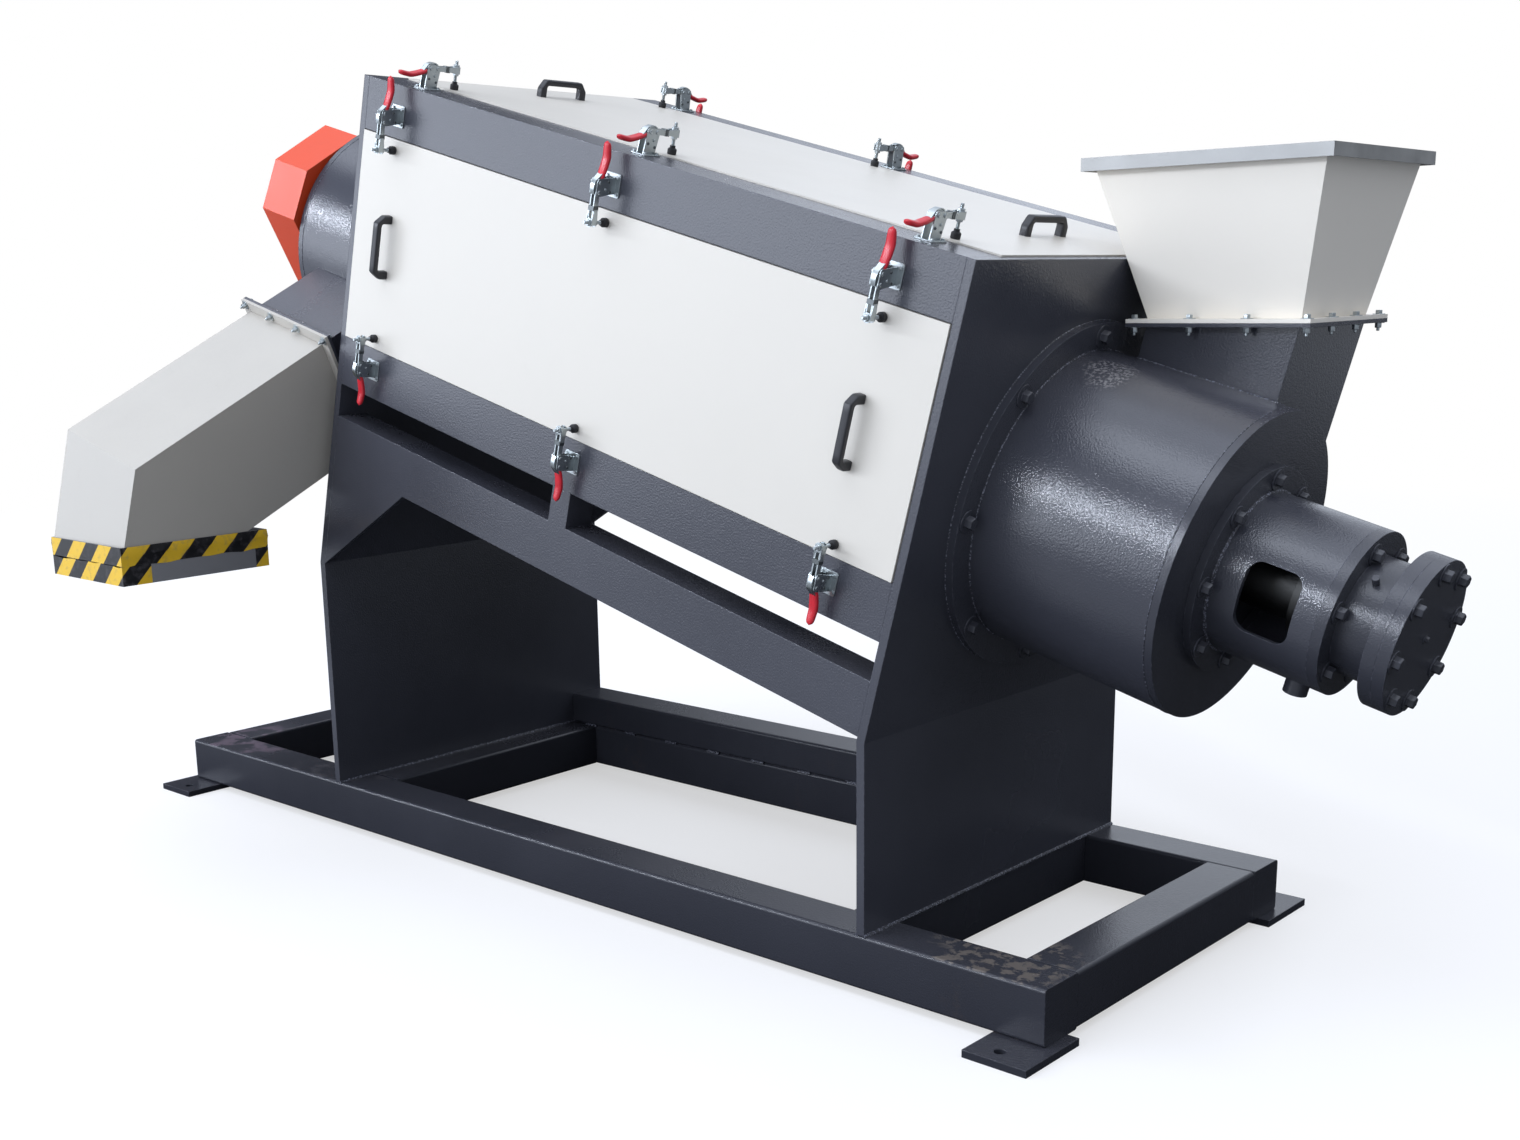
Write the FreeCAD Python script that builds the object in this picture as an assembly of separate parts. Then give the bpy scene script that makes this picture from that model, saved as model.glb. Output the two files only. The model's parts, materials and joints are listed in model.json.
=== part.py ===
import FreeCAD, Part
import math
import os

# Inclined friction washer, millimetres, +Z up.
# Origin: floor level, in the centre of the four foot holes.
# +X runs to the feed end, -Y is the side with the discharge chute.
# Casing pieces are drawn along a level rotor axis (u, y, n) and tilted last:
# u runs along the rotor to the feed end and n is square to it, upwards.

V = FreeCAD.Vector
os.makedirs("parts", exist_ok=True)

# Base frame
BASE_L = 3000.0
BASE_W = 1000.0
RAIL = 120.0
RAIL_R = 8.0
FOOT_T = 16.0
FOOT_X = 145.0
FOOT_Y = 190.0
FOOT_OUT_X = 26.0
FOOT_OUT_Y = 104.0
FOOT_HOLE_D = 24.0
FOOT_HOLE_IN_X = 84.0
FOOT_HOLE_IN_Y = 40.0
UPPER_BEAM_H = 88.0

# Rotor axis and end plates
INCLINE = 15.0
AXIS_Z = 1328.0
PLATE_T = 20.0
DIS_U = -600.0
FEED_U = 1230.0
DIS_BEND_N = -759.0
FEED_BEND_N = -476.0
TOP_N = 500.0

# Casing between the plates
BAND_D = 112.0
TOP_BAND_H = 122.0
DOOR_H = 514.0
PANEL_GAP = 2.0
LOWER_BAND_H = 124.0
LOWER_BAND_D = 80.0
SLOT_H = 85.0
BEAM_H = 124.0
BEAM_D = 90.0
POST_FROM_MIDDLE = -45.0
POST_W = 60.0
GUSSET_L = 290.0
GUSSET_T = 16.0
SEAT_T = 8.0
SEAT_W = 40.0
DOOR_D = 24.0
DOOR_SKIN = 4.0
DOOR_PROUD = 3.0
TRAY_T = 6.0

# Feed end
DRUM_R = 320.0
DRUM_WALL = 8.0
FEED_DRUM_L = 426.0
DISC_T = 18.0
RING_LIP = 56.0
RING_T = 18.0
SCREEN_R = 238.0
SCREEN_WALL = 4.0
SCREEN_SHEETS = 4
SCREEN_SEAM = 4.0
SHAFT_R = 62.0
RUN_CLEAR = 0.05
SHAFT_GAP = 8.0
COLLAR_LIP = 26.0
COLLAR_L = 30.0
COLLAR_FROM_WINDOW_END = 12.0
COLLAR_SLIT = 10.0
SCREW_CLEAR = 10.0
SCREW_PITCH = 250.0
SCREW_T = 10.0
SCREW_END_GAP = 30.0
BEARING_RING_R = 214.0
BEARING_RING_T = 16.0
LANTERN_R = 165.0
LANTERN_WALL = 12.0
LANTERN_L = 214.0
WINDOW_L = 112.0
WINDOW_H = 140.0
WINDOW_R = 28.0
WINDOW_FROM_RING = 58.0
HOUSING_RIM_T = 22.0
NECK_R = 119.0
NECK_L = 96.0
HOUSING_FLANGE_T = 26.0
COVER_R = 154.0
COVER_T = 24.0
SHAFT_END_GAP = 6.0
DRAIN_R = 24.0
DRAIN_DROP = 30.0
DRAIN_FROM_RIM = 54.0
NIPPLE_R = 7.0
NIPPLE_H = 18.0
NIPPLE_FROM_RIM = 54.0
NIPPLE_ANGLE = 43.0
CHUTE_FROM_PLATE = 72.0
CHUTE_L = 314.0
CHUTE_Y0 = 56.0
CHUTE_PAST_DRUM = 36.0
CHUTE_KNEE_N = 190.0
CHUTE_TOE_N = 20.0
SHEET = 5.0
THROAT_OVER_DRUM = 55.0
FLANGE_T = 8.0
FLANGE_LIP = 32.0
HOPPER_OVER_PLATE = 197.4
HOPPER_CLEAR = 2.4
HOPPER_OVER_END = 62.0
HOPPER_OVER_FRONT = 62.0
HOPPER_OVER_REAR = 90.0
HOPPER_SHEET = 3.0
RIM_H = 26.0
RIM_LIP = 16.0
RIM_SHEET = 3.0

# Discharge end
DIS_DRUM_L = 450.0
DCHUTE_FROM_PLATE = 50.0
DCHUTE_W = 325.0
DCHUTE_SLOPE = 29.5
DCHUTE_TOP_Y = -512.0
DCHUTE_TOP_N = -172.0
DCHUTE_H = 336.0
DCHUTE_RUN = 596.0
DCHUTE_DROP = 420.0
DCHUTE_LEAN = 0.1
DCHUTE_UNDER_RUN = 760.0
DCHUTE_SHEET = 3.0
DCHUTE_FLANGE_LIP = 28.0
DBOX_BACK = 420.0
DBOX_FROM_AXIS = 40.0
MOUTH_Z = 850.0
MOUTH_COLLAR_H = 96.0
MOUTH_COLLAR_LAP = 4.0
MOUTH_COLLAR_REAR = 60.0
DRIVE_BEARING_R = 130.0
PADDLE_CLEAR = 16.0
PADDLE_L = 300.0
PADDLE_T = 10.0
PADDLE_COUNT = 4
PADDLE_START = 20.0

# Belt guard, motor and stand
GUARD_GAP = 26.0
GUARD_D = 150.0
GUARD_SHEET = 4.0
GUARD_RIDGE = (-150.0, 278.0)
GUARD_EAVE = (-305.0, 178.0)
GUARD_SIDE = (-335.0, 45.0)
GUARD_BACK = (175.0, 180.0)
GUARD_FOOT_R = 150.0
GUARD_FOOT_ANGLES = (195.0, 245.0, 295.0, 345.0)
GUARD_SHAFT_HOLE = 6.0
MOTOR_Y = 385.0
MOTOR_N = -790.0
MOTOR_R = 140.0
MOTOR_L = 400.0
MOTOR_FROM_GUARD = 6.0
MOTOR_SHAFT_R = 24.0
MOTOR_SHAFT_OUT = 60.0
MOTOR_BELL_T = 20.0
MOTOR_FAN_L = 70.0
MOTOR_FAN_LIP = 6.0
MOTOR_FOOT_N = 180.0
MOTOR_FOOT_T = 20.0
MOTOR_FOOT_W = 240.0
MOTOR_FOOT_L = 230.0
MOTOR_SADDLE_W = 180.0
MOTOR_SADDLE_L = 190.0
TERMINAL_W = 120.0
TERMINAL_L = 160.0
TERMINAL_H = 60.0
STAND_T = 14.0
STAND_LEG_T = 12.0
STAND_EDGE = 30.0

# Handles and toggle clamps
HANDLE_C = 134.0
HANDLE_H = 42.0
HANDLE_T = 20.0
HANDLE_SHOULDER = 20.0
HANDLE_CORNER = 18.0
HANDLE_BAR = 14.0
HANDLE_FROM_DIS = 135.0
HANDLE_FROM_FEED = 163.0
CLAMP_FROM_DIS = 125.0
CLAMP_FROM_FEED = 152.0
CLAMP_FROM_POST = 20.0
CLAMP_FROM_SEAM = 52.0
COVER_CLAMP_SHIFT = 22.0
CLAMP_FOOT_L = 50.0
CLAMP_FOOT_W = 46.0
CLAMP_FOOT_T = 3.0
CLAMP_EAR_T = 3.0
CLAMP_EAR_GAP = 15.0
CLAMP_PIN_R = 4.0
CLAMP_PIN_N = 48.0
CLAMP_ARM_X = 16.0
CLAMP_LINK_X = -4.0
CLAMP_REACH = 80.0
CLAMP_ARM_W = 14.0
CLAMP_ARM_H = 12.0
CLAMP_SPINDLE_R = 4.0
CLAMP_SPINDLE_TOP = 72.0
CLAMP_SLOT_CLEAR = 0.5
CLAMP_NUT_R = 8.0
CLAMP_NUT_H = 5.0
CLAMP_TIP_R = 10.0
CLAMP_TIP_H = 14.0
CLAMP_LEVER_T = 8.0
CLAMP_LEVER_N = 60.0
CLAMP_GRIP_N = 38.0
CLAMP_GRIP_FROM = 8.0
CLAMP_GRIP_L = 82.0
CLAMP_GRIP_W = 20.0
CLAMP_GRIP_H = 12.0

# Larger than the machine, for cutting tools
FAR = 5000.0

# Worked out
base_top = FOOT_T + RAIL
half_w = BASE_W / 2
half_l = BASE_L / 2
sin_t = math.sin(math.radians(INCLINE))
cos_t = math.cos(math.radians(INCLINE))
dis_leg_x = DIS_U * cos_t + DIS_BEND_N * sin_t
feed_leg_x = FEED_U * cos_t + FEED_BEND_N * sin_t
inner_u0 = DIS_U + PLATE_T
inner_u1 = FEED_U - PLATE_T
post_u = (inner_u0 + inner_u1) / 2 + POST_FROM_MIDDLE
clamp_us = (inner_u0 + CLAMP_FROM_DIS, post_u + CLAMP_FROM_POST, inner_u1 - CLAMP_FROM_FEED)
handle_us = (inner_u0 + HANDLE_FROM_DIS, inner_u1 - HANDLE_FROM_FEED)
door_n1 = TOP_N - TOP_BAND_H
door_n0 = door_n1 - DOOR_H
slot_n1 = door_n0 - LOWER_BAND_H
slot_n0 = slot_n1 - SLOT_H
beam_n0 = slot_n0 - BEAM_H
mid_panel_n = (door_n0 + door_n1) / 2
ring_r = DRUM_R + RING_LIP
screw_r = SCREEN_R - SCREEN_WALL - SCREW_CLEAR
paddle_r = DRUM_R - DRUM_WALL - PADDLE_CLEAR
disc_u = FEED_U + FEED_DRUM_L
ring_face_u = disc_u + DISC_T
lantern_u0 = ring_face_u + BEARING_RING_T
lantern_u1 = lantern_u0 + LANTERN_L
neck_u1 = lantern_u1 + NECK_L
cover_u0 = neck_u1 + HOUSING_FLANGE_T
cover_u1 = cover_u0 + COVER_T
chute_u0 = FEED_U + CHUTE_FROM_PLATE
chute_u1 = chute_u0 + CHUTE_L
chute_y1 = DRUM_R + CHUTE_PAST_DRUM
throat_z = AXIS_Z - chute_u0 * sin_t + DRUM_R + THROAT_OVER_DRUM
throat_x0 = (chute_u0 + (throat_z - AXIS_Z) * sin_t) / cos_t
throat_x1 = (chute_u1 + (throat_z - AXIS_Z) * sin_t) / cos_t
plate_top = (FEED_U * cos_t + TOP_N * sin_t, AXIS_Z - FEED_U * sin_t + TOP_N * cos_t)
hopper_z0 = throat_z + FLANGE_T
hopper_z1 = plate_top[1] + HOPPER_OVER_PLATE
hopper_lean = (throat_x0 - plate_top[0] - HOPPER_CLEAR) / (plate_top[1] - hopper_z0)
dchute_u1 = DIS_U - DCHUTE_FROM_PLATE
dchute_u0 = dchute_u1 - DCHUTE_W
dis_disc_u = DIS_U - DIS_DRUM_L
guard_u1 = dis_disc_u - GUARD_GAP
guard_u0 = guard_u1 - GUARD_D


def box(x0, x1, y0, y1, z0, z1):
    """Box between two corners."""
    return Part.makeBox(x1 - x0, y1 - y0, z1 - z0, V(x0, y0, z0))


def rod(r, u0, u1, y=0.0, n=0.0):
    """Round bar along u."""
    return Part.makeCylinder(r, u1 - u0, V(u0, y, n), V(1, 0, 0))


def pipe(r, wall, u0, u1, y=0.0, n=0.0):
    """Tube along u."""
    return rod(r, u0, u1, y, n).cut(rod(r - wall, u0 - 1, u1 + 1, y, n))


def tilt(shape):
    """Turn a casing piece from the level rotor axis to its real place."""
    s = shape.copy()
    s.rotate(V(0, 0, 0), V(0, 1, 0), INCLINE)
    s.translate(V(0, 0, AXIS_Z))
    return s


def world(u, y, n):
    """Real place of a casing point."""
    return V(u * cos_t + n * sin_t, y, AXIS_Z - u * sin_t + n * cos_t)


def prism_y(points, y0, y1):
    """Plate with its outline in the x, z plane."""
    wire = Part.makePolygon([V(x, y0, z) for x, z in points + points[:1]])
    return Part.Face(wire).extrude(V(0, y1 - y0, 0))


def prism_u(points, u0, u1):
    """Solid with its outline in the y, n plane."""
    wire = Part.makePolygon([V(u0, y, n) for y, n in points + points[:1]])
    return Part.Face(wire).extrude(V(u1 - u0, 0, 0))


def mirror_y(shape):
    """The same piece on the other side of the machine."""
    return shape.mirror(V(0, 0, 0), V(0, 1, 0))


def fuse(shapes):
    """One solid from pieces that are welded or cast together."""
    out = shapes[0]
    for s in shapes[1:]:
        out = out.fuse(s)
    return out.removeSplitter()


def save(name, shape):
    """Write one named piece."""
    shape.exportStep("parts/" + name + ".step")


def soft_edges(shape, radius, axis):
    """Round the long edges of a box section."""
    edges = []
    for e in shape.Edges:
        a, b = e.Vertexes[0].Point, e.Vertexes[-1].Point
        d = b.sub(a)
        if d.Length > 1e-6 and abs(abs(d.dot(axis)) - d.Length) < 1e-6:
            edges.append(e)
    return shape.makeFillet(radius, edges)


def rail(x0, x1, y0, y1, z0, z1, axis):
    """Box section with rounded long edges."""
    return soft_edges(box(x0, x1, y0, y1, z0, z1), RAIL_R, axis)


def base_frame():
    """Rails, cross rails, foot plates and the beam on the rear rail."""
    X, Y = V(1, 0, 0), V(0, 1, 0)
    front = rail(-half_l, half_l, -half_w, -half_w + RAIL, FOOT_T, base_top, X)
    save("base_rail_front", front)
    save("base_rail_rear", mirror_y(front))
    y0, y1 = -half_w + RAIL, half_w - RAIL
    places = {
        "cross_rail_discharge_end": -half_l,
        "cross_rail_discharge_plate": dis_leg_x,
        "cross_rail_feed_plate": feed_leg_x - RAIL,
        "cross_rail_feed_end": half_l - RAIL,
    }
    for name, x in places.items():
        save(name, rail(x, x + RAIL, y0, y1, FOOT_T, base_top, Y))
    feet = []
    for sx in (-1, 1):
        for sy in (-1, 1):
            xo, yo = half_l + FOOT_OUT_X, half_w + FOOT_OUT_Y
            x0, x1 = sorted((sx * xo, sx * (xo - FOOT_X)))
            yy0, yy1 = sorted((sy * yo, sy * (yo - FOOT_Y)))
            plate = box(x0, x1, yy0, yy1, 0, FOOT_T)
            hole = V(sx * (xo - FOOT_HOLE_IN_X), sy * (yo - FOOT_HOLE_IN_Y), -1)
            feet.append(plate.cut(Part.makeCylinder(FOOT_HOLE_D / 2, FOOT_T + 2, hole)))
    save("foot_plates", Part.makeCompound(feet))
    beam = rail(dis_leg_x + PLATE_T, feed_leg_x - PLATE_T, half_w - RAIL, half_w,
                base_top, base_top + UPPER_BEAM_H, X)
    save("rear_upper_beam", beam)


def bend_n(x, u):
    """Height along n where a plate face bends from upright to tilted."""
    return (x - u * cos_t) / sin_t


def end_plate(leg_x, u, inward):
    """Plate that is upright on the base and tilted square to the rotor above."""
    outer = world(u, 0, bend_n(leg_x, u))
    inner_x, inner_u = leg_x + inward * PLATE_T, u + inward * PLATE_T
    inner = world(inner_u, 0, bend_n(inner_x, inner_u))
    top_out, top_in = world(u, 0, TOP_N), world(inner_u, 0, TOP_N)
    points = [(leg_x, base_top), (outer.x, outer.z), (top_out.x, top_out.z),
              (top_in.x, top_in.z), (inner.x, inner.z), (inner_x, base_top)]
    plate = prism_y(points, -half_w, half_w)
    u0, u1 = sorted((u, inner_u))
    return plate.cut(tilt(rod(SCREEN_R, u0 - 5, u1 + 5)))


def casing():
    """Bands, beams, doors, cover and the tray between the end plates."""
    y0 = -half_w
    band = box(inner_u0, inner_u1, y0, y0 + BAND_D, door_n1, TOP_N)
    low = box(inner_u0, inner_u1, y0, y0 + LOWER_BAND_D, slot_n1, door_n0)
    beam = box(inner_u0, inner_u1, y0, y0 + BEAM_D, beam_n0, slot_n0)
    post = box(post_u - POST_W / 2, post_u + POST_W / 2, y0, y0 + LOWER_BAND_D, slot_n0, slot_n1)
    bend = bend_n(dis_leg_x + PLATE_T, inner_u0)
    gusset = prism_y([(inner_u0, beam_n0), (inner_u0 + GUSSET_L, beam_n0), (inner_u0, bend)],
                     y0, y0 + GUSSET_T)
    side = fuse([beam, post, gusset])
    seat_y = y0 - DOOR_PROUD + DOOR_D
    seat = box(inner_u0, inner_u1, seat_y, seat_y + SEAT_T, door_n0, door_n1)
    seat = seat.cut(box(inner_u0 + SEAT_W, inner_u1 - SEAT_W, seat_y - 1, seat_y + SEAT_T + 1,
                        door_n0 + SEAT_W, door_n1 - SEAT_W))
    door = box(inner_u0 + PANEL_GAP, inner_u1 - PANEL_GAP, y0 - DOOR_PROUD, seat_y,
               door_n0 + PANEL_GAP, door_n1 - PANEL_GAP)
    s = DOOR_SKIN + PANEL_GAP
    door = door.cut(box(inner_u0 + s, inner_u1 - s, y0 - DOOR_PROUD + DOOR_SKIN, seat_y + 1,
                        door_n0 + s, door_n1 - s))
    pieces = {"top_band": band, "lower_band": low, "side_beam": side,
              "door_seat": seat, "door": door}
    for name, shape in pieces.items():
        save(name + "_front", tilt(shape))
        save(name + "_rear", tilt(mirror_y(shape)))
    top = TOP_N + DOOR_PROUD
    cy = half_w - BAND_D - PANEL_GAP
    cu0, cu1 = inner_u0 + PANEL_GAP, inner_u1 - PANEL_GAP
    cover = box(cu0, cu1, -cy, cy, top - DOOR_D, top)
    cover = cover.cut(box(cu0 + DOOR_SKIN, cu1 - DOOR_SKIN, -cy + DOOR_SKIN, cy - DOOR_SKIN,
                          top - DOOR_D - 1, top - DOOR_SKIN))
    save("top_cover", tilt(cover))
    sy = half_w - BAND_D
    rim = box(inner_u0, inner_u1, -sy, sy, top - DOOR_D - SEAT_T, top - DOOR_D)
    rim = rim.cut(box(inner_u0 + SEAT_W, inner_u1 - SEAT_W, -sy + SEAT_W, sy - SEAT_W,
                      top - DOOR_D - SEAT_T - 1, top - DOOR_D + 1))
    save("cover_seat", tilt(rim))
    ty = half_w - LOWER_BAND_D
    save("bottom_tray", tilt(box(inner_u0, inner_u1, -ty, ty, slot_n1, slot_n1 + TRAY_T)))
    sheets = pipe(SCREEN_R, SCREEN_WALL, DIS_U, FEED_U)
    for k in range(SCREEN_SHEETS):
        seam = box(DIS_U - 1, FEED_U + 1, -SCREEN_SEAM / 2, SCREEN_SEAM / 2, 0, SCREEN_R + 1)
        seam.rotate(V(0, 0, 0), V(1, 0, 0), (k + 0.5) * 360.0 / SCREEN_SHEETS)
        sheets = sheets.cut(seam)
    save("screen_drum", tilt(sheets))


def clamp():
    """Closed toggle clamp: foot at 0, arm to +x over the panel, 0 is the face."""
    half_foot = CLAMP_FOOT_L / 2
    inside = CLAMP_EAR_GAP / 2
    outside = inside + CLAMP_EAR_T
    foot = box(-half_foot, half_foot, -CLAMP_FOOT_W / 2, CLAMP_FOOT_W / 2, 0, CLAMP_FOOT_T)
    eye = 2 * CLAMP_PIN_R
    profile = [(-half_foot + eye, 0), (half_foot - eye, 0), (CLAMP_ARM_X + eye, CLAMP_PIN_N),
               (CLAMP_ARM_X, CLAMP_PIN_N + eye), (CLAMP_LINK_X - eye, CLAMP_PIN_N)]
    ears = [prism_y(profile, y, y + CLAMP_EAR_T) for y in (-outside, inside)]
    arm_n0 = CLAMP_PIN_N - CLAMP_ARM_H / 2
    arm_end = CLAMP_REACH + CLAMP_NUT_R
    half_slot = CLAMP_SPINDLE_R + CLAMP_SLOT_CLEAR
    arm = box(CLAMP_ARM_X - eye, arm_end, -CLAMP_ARM_W / 2, CLAMP_ARM_W / 2,
              arm_n0, arm_n0 + CLAMP_ARM_H)
    arm = arm.cut(box(CLAMP_ARM_X + eye, arm_end - CLAMP_EAR_T, -half_slot, half_slot,
                      arm_n0 - 1, arm_n0 + CLAMP_ARM_H + 1))
    tip_top = DOOR_PROUD + CLAMP_TIP_H
    tip = Part.makeCone(CLAMP_TIP_R, CLAMP_NUT_R, CLAMP_TIP_H, V(CLAMP_REACH, 0, DOOR_PROUD))
    spindle = Part.makeCylinder(CLAMP_SPINDLE_R, CLAMP_SPINDLE_TOP - tip_top,
                                V(CLAMP_REACH, 0, tip_top))
    nuts = []
    for n in (arm_n0 - CLAMP_NUT_H, arm_n0 + CLAMP_ARM_H):
        nuts.append(hexagon(CLAMP_NUT_R, CLAMP_NUT_H, CLAMP_REACH, n))
    grip_x1 = -CLAMP_GRIP_FROM
    lever = prism_y([(CLAMP_ARM_X + eye, CLAMP_PIN_N), (CLAMP_ARM_X, CLAMP_LEVER_N),
                     (CLAMP_LINK_X, CLAMP_LEVER_N), (grip_x1 - eye, CLAMP_GRIP_N + CLAMP_PIN_R),
                     (grip_x1 - eye, CLAMP_GRIP_N - CLAMP_PIN_R), (CLAMP_LINK_X, arm_n0)],
                    -CLAMP_LEVER_T / 2, CLAMP_LEVER_T / 2)
    grip = soft_edges(box(grip_x1 - CLAMP_GRIP_L, grip_x1, -CLAMP_GRIP_W / 2, CLAMP_GRIP_W / 2,
                          CLAMP_GRIP_N - CLAMP_GRIP_H / 2, CLAMP_GRIP_N + CLAMP_GRIP_H / 2),
                      CLAMP_GRIP_H / 3, V(1, 0, 0))
    pins = []
    for x in (CLAMP_ARM_X, CLAMP_LINK_X):
        pins.append(Part.makeCylinder(CLAMP_PIN_R, 2 * outside + 2, V(x, -outside - 1, CLAMP_PIN_N),
                                      V(0, 1, 0)))
    return fuse([foot] + ears + [arm, spindle] + nuts + [tip, lever, grip] + pins)


def hexagon(r, height, x, z):
    """Hexagon nut standing on z."""
    corners = [V(x + r * math.cos(k * math.pi / 3), r * math.sin(k * math.pi / 3), z)
               for k in range(7)]
    return Part.Face(Part.makePolygon(corners)).extrude(V(0, 0, height))


def bridge_handle():
    """Bridge handle standing on 0, long way along x."""
    outer = HANDLE_C / 2 + HANDLE_T / 2
    inner = HANDLE_C / 2 - HANDLE_T / 2
    under = HANDLE_H - HANDLE_BAR
    corner = outer - HANDLE_CORNER
    points = [(-outer, 0), (-outer, HANDLE_SHOULDER), (-corner, HANDLE_H), (corner, HANDLE_H),
              (outer, HANDLE_SHOULDER), (outer, 0), (inner, 0), (inner, under),
              (-inner, under), (-inner, 0)]
    return prism_y(points, -HANDLE_T / 2, HANDLE_T / 2)


def place(shape, u, y, n, x_dir, z_dir):
    """Put a fitting on the casing with its x and z axes turned to the given ones."""
    s = shape.copy()
    turn = FreeCAD.Rotation(x_dir, z_dir.cross(x_dir), z_dir, "XZY")
    s.Placement = FreeCAD.Placement(V(u, y, n), turn)
    return s


def fittings():
    """Handles on doors and cover, and the three rows of clamps on each side."""
    Y, N = V(0, 1, 0), V(0, 0, 1)
    out = V(0, -1, 0)
    face = -half_w - DOOR_PROUD
    handle = bridge_handle()
    grips = [place(handle, u, face, mid_panel_n, N, out) for u in handle_us]
    save("door_handles_front", tilt(Part.makeCompound(grips)))
    save("door_handles_rear", tilt(mirror_y(Part.makeCompound(grips))))
    grips = [place(handle, u, 0, TOP_N + DOOR_PROUD, Y, N) for u in handle_us]
    save("cover_handles", tilt(Part.makeCompound(grips)))
    one = clamp()
    door = []
    for u in clamp_us:
        door.append(place(one, u, -half_w, door_n1 + CLAMP_FROM_SEAM, N * -1, out))
        door.append(place(one, u, -half_w, door_n0 - CLAMP_FROM_SEAM, N, out))
    save("clamps_door_front", tilt(Part.makeCompound(door)))
    save("clamps_door_rear", tilt(mirror_y(Part.makeCompound(door))))
    seam = -half_w + BAND_D
    top = [place(one, u + COVER_CLAMP_SHIFT, seam - CLAMP_FROM_SEAM, TOP_N, Y, N)
           for u in clamp_us]
    save("clamps_cover_front", tilt(Part.makeCompound(top)))
    save("clamps_cover_rear", tilt(mirror_y(Part.makeCompound(top))))


def chute_outline(inset=0.0):
    """Feed chute across the rotor: upright front, rear wall turning in to the drum."""
    y0, y1 = CHUTE_Y0 + inset, chute_y1 - inset
    return [(y0, 0.0), (y0, FAR), (y1, FAR), (y1, CHUTE_KNEE_N), (DRUM_R - inset, CHUTE_TOE_N)]


def feed_end():
    """Ring flange, drum, end disc, lantern bearing, feed chute and hopper."""
    ring = rod(ring_r, FEED_U, FEED_U + RING_T)
    save("feed_ring_flange", tilt(ring.cut(rod(DRUM_R, FEED_U - 1, FEED_U + RING_T + 1))))
    hollow = prism_u(chute_outline(SHEET), chute_u0 + SHEET, chute_u1 - SHEET)
    drum = pipe(DRUM_R, DRUM_WALL, FEED_U, disc_u)
    save("feed_drum", tilt(drum.cut(hollow)))
    disc = rod(DRUM_R, disc_u, ring_face_u)
    save("feed_drum_disc", tilt(disc.cut(rod(SHAFT_R + SHAFT_GAP, disc_u - 1, ring_face_u + 1))))
    lantern_bearing()
    feed_chute(hollow)
    hopper()


def lantern_bearing():
    """Bolted ring, windowed tube and the bearing housing with its round cover."""
    ring = rod(BEARING_RING_R, ring_face_u, lantern_u0)
    bore = rod(LANTERN_R - LANTERN_WALL, ring_face_u - 1, lantern_u0 + 1)
    save("bearing_ring", tilt(ring.cut(bore)))
    w0 = lantern_u0 + WINDOW_FROM_RING
    window = box(w0, w0 + WINDOW_L, -LANTERN_R - 1, LANTERN_R + 1, -WINDOW_H / 2, WINDOW_H / 2)
    lantern = pipe(LANTERN_R, LANTERN_WALL, lantern_u0, lantern_u1)
    save("lantern_tube", tilt(lantern.cut(soft_edges(window, WINDOW_R, V(0, 1, 0)))))
    housing = fuse([rod(LANTERN_R, lantern_u1, lantern_u1 + HOUSING_RIM_T),
                    rod(NECK_R, lantern_u1, neck_u1), rod(COVER_R, neck_u1, cover_u0)])
    housing = housing.cut(rod(SHAFT_R + RUN_CLEAR, lantern_u1 - 1, cover_u0 + 1))
    save("bearing_housing", tilt(housing))
    save("end_cover", tilt(rod(COVER_R, cover_u0, cover_u1)))
    drain = Part.makeCylinder(DRAIN_R, LANTERN_R + DRAIN_DROP,
                              V(lantern_u1 - DRAIN_FROM_RIM, 0, -LANTERN_R - DRAIN_DROP))
    drain = drain.cut(rod(LANTERN_R, lantern_u0, lantern_u1))
    nipple = Part.makeCylinder(NIPPLE_R, NECK_R + NIPPLE_H, V(lantern_u1 + NIPPLE_FROM_RIM, 0, 0))
    nipple = nipple.cut(rod(NECK_R, lantern_u0, cover_u0))
    nipple.rotate(V(0, 0, 0), V(1, 0, 0), NIPPLE_ANGLE)
    save("bearing_fittings", tilt(Part.makeCompound([drain, nipple])))


def feed_chute(hollow):
    """Sheet chute from the rear of the drum up to a level pair of flanges."""
    below = box(-FAR, FAR, -FAR, FAR, -FAR, throat_z)
    outside = tilt(prism_u(chute_outline(), chute_u0, chute_u1))
    bore = tilt(rod(DRUM_R, FEED_U, ring_face_u + RING_T))
    save("feed_chute", outside.common(below).cut(tilt(hollow)).cut(bore))
    lip = FLANGE_LIP
    for name, z in (("feed_chute_flange", throat_z - FLANGE_T), ("hopper_flange", throat_z)):
        plate = box(throat_x0 - lip, throat_x1 + lip, CHUTE_Y0 - lip, chute_y1 + lip,
                    z, z + FLANGE_T)
        if z < throat_z:
            plate = plate.cut(outside)
        else:
            plate = plate.cut(box(throat_x0 + SHEET, throat_x1 - SHEET, CHUTE_Y0 + SHEET,
                                  chute_y1 - SHEET, z - 1, z + FLANGE_T + 1))
        save(name, plate)


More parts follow.
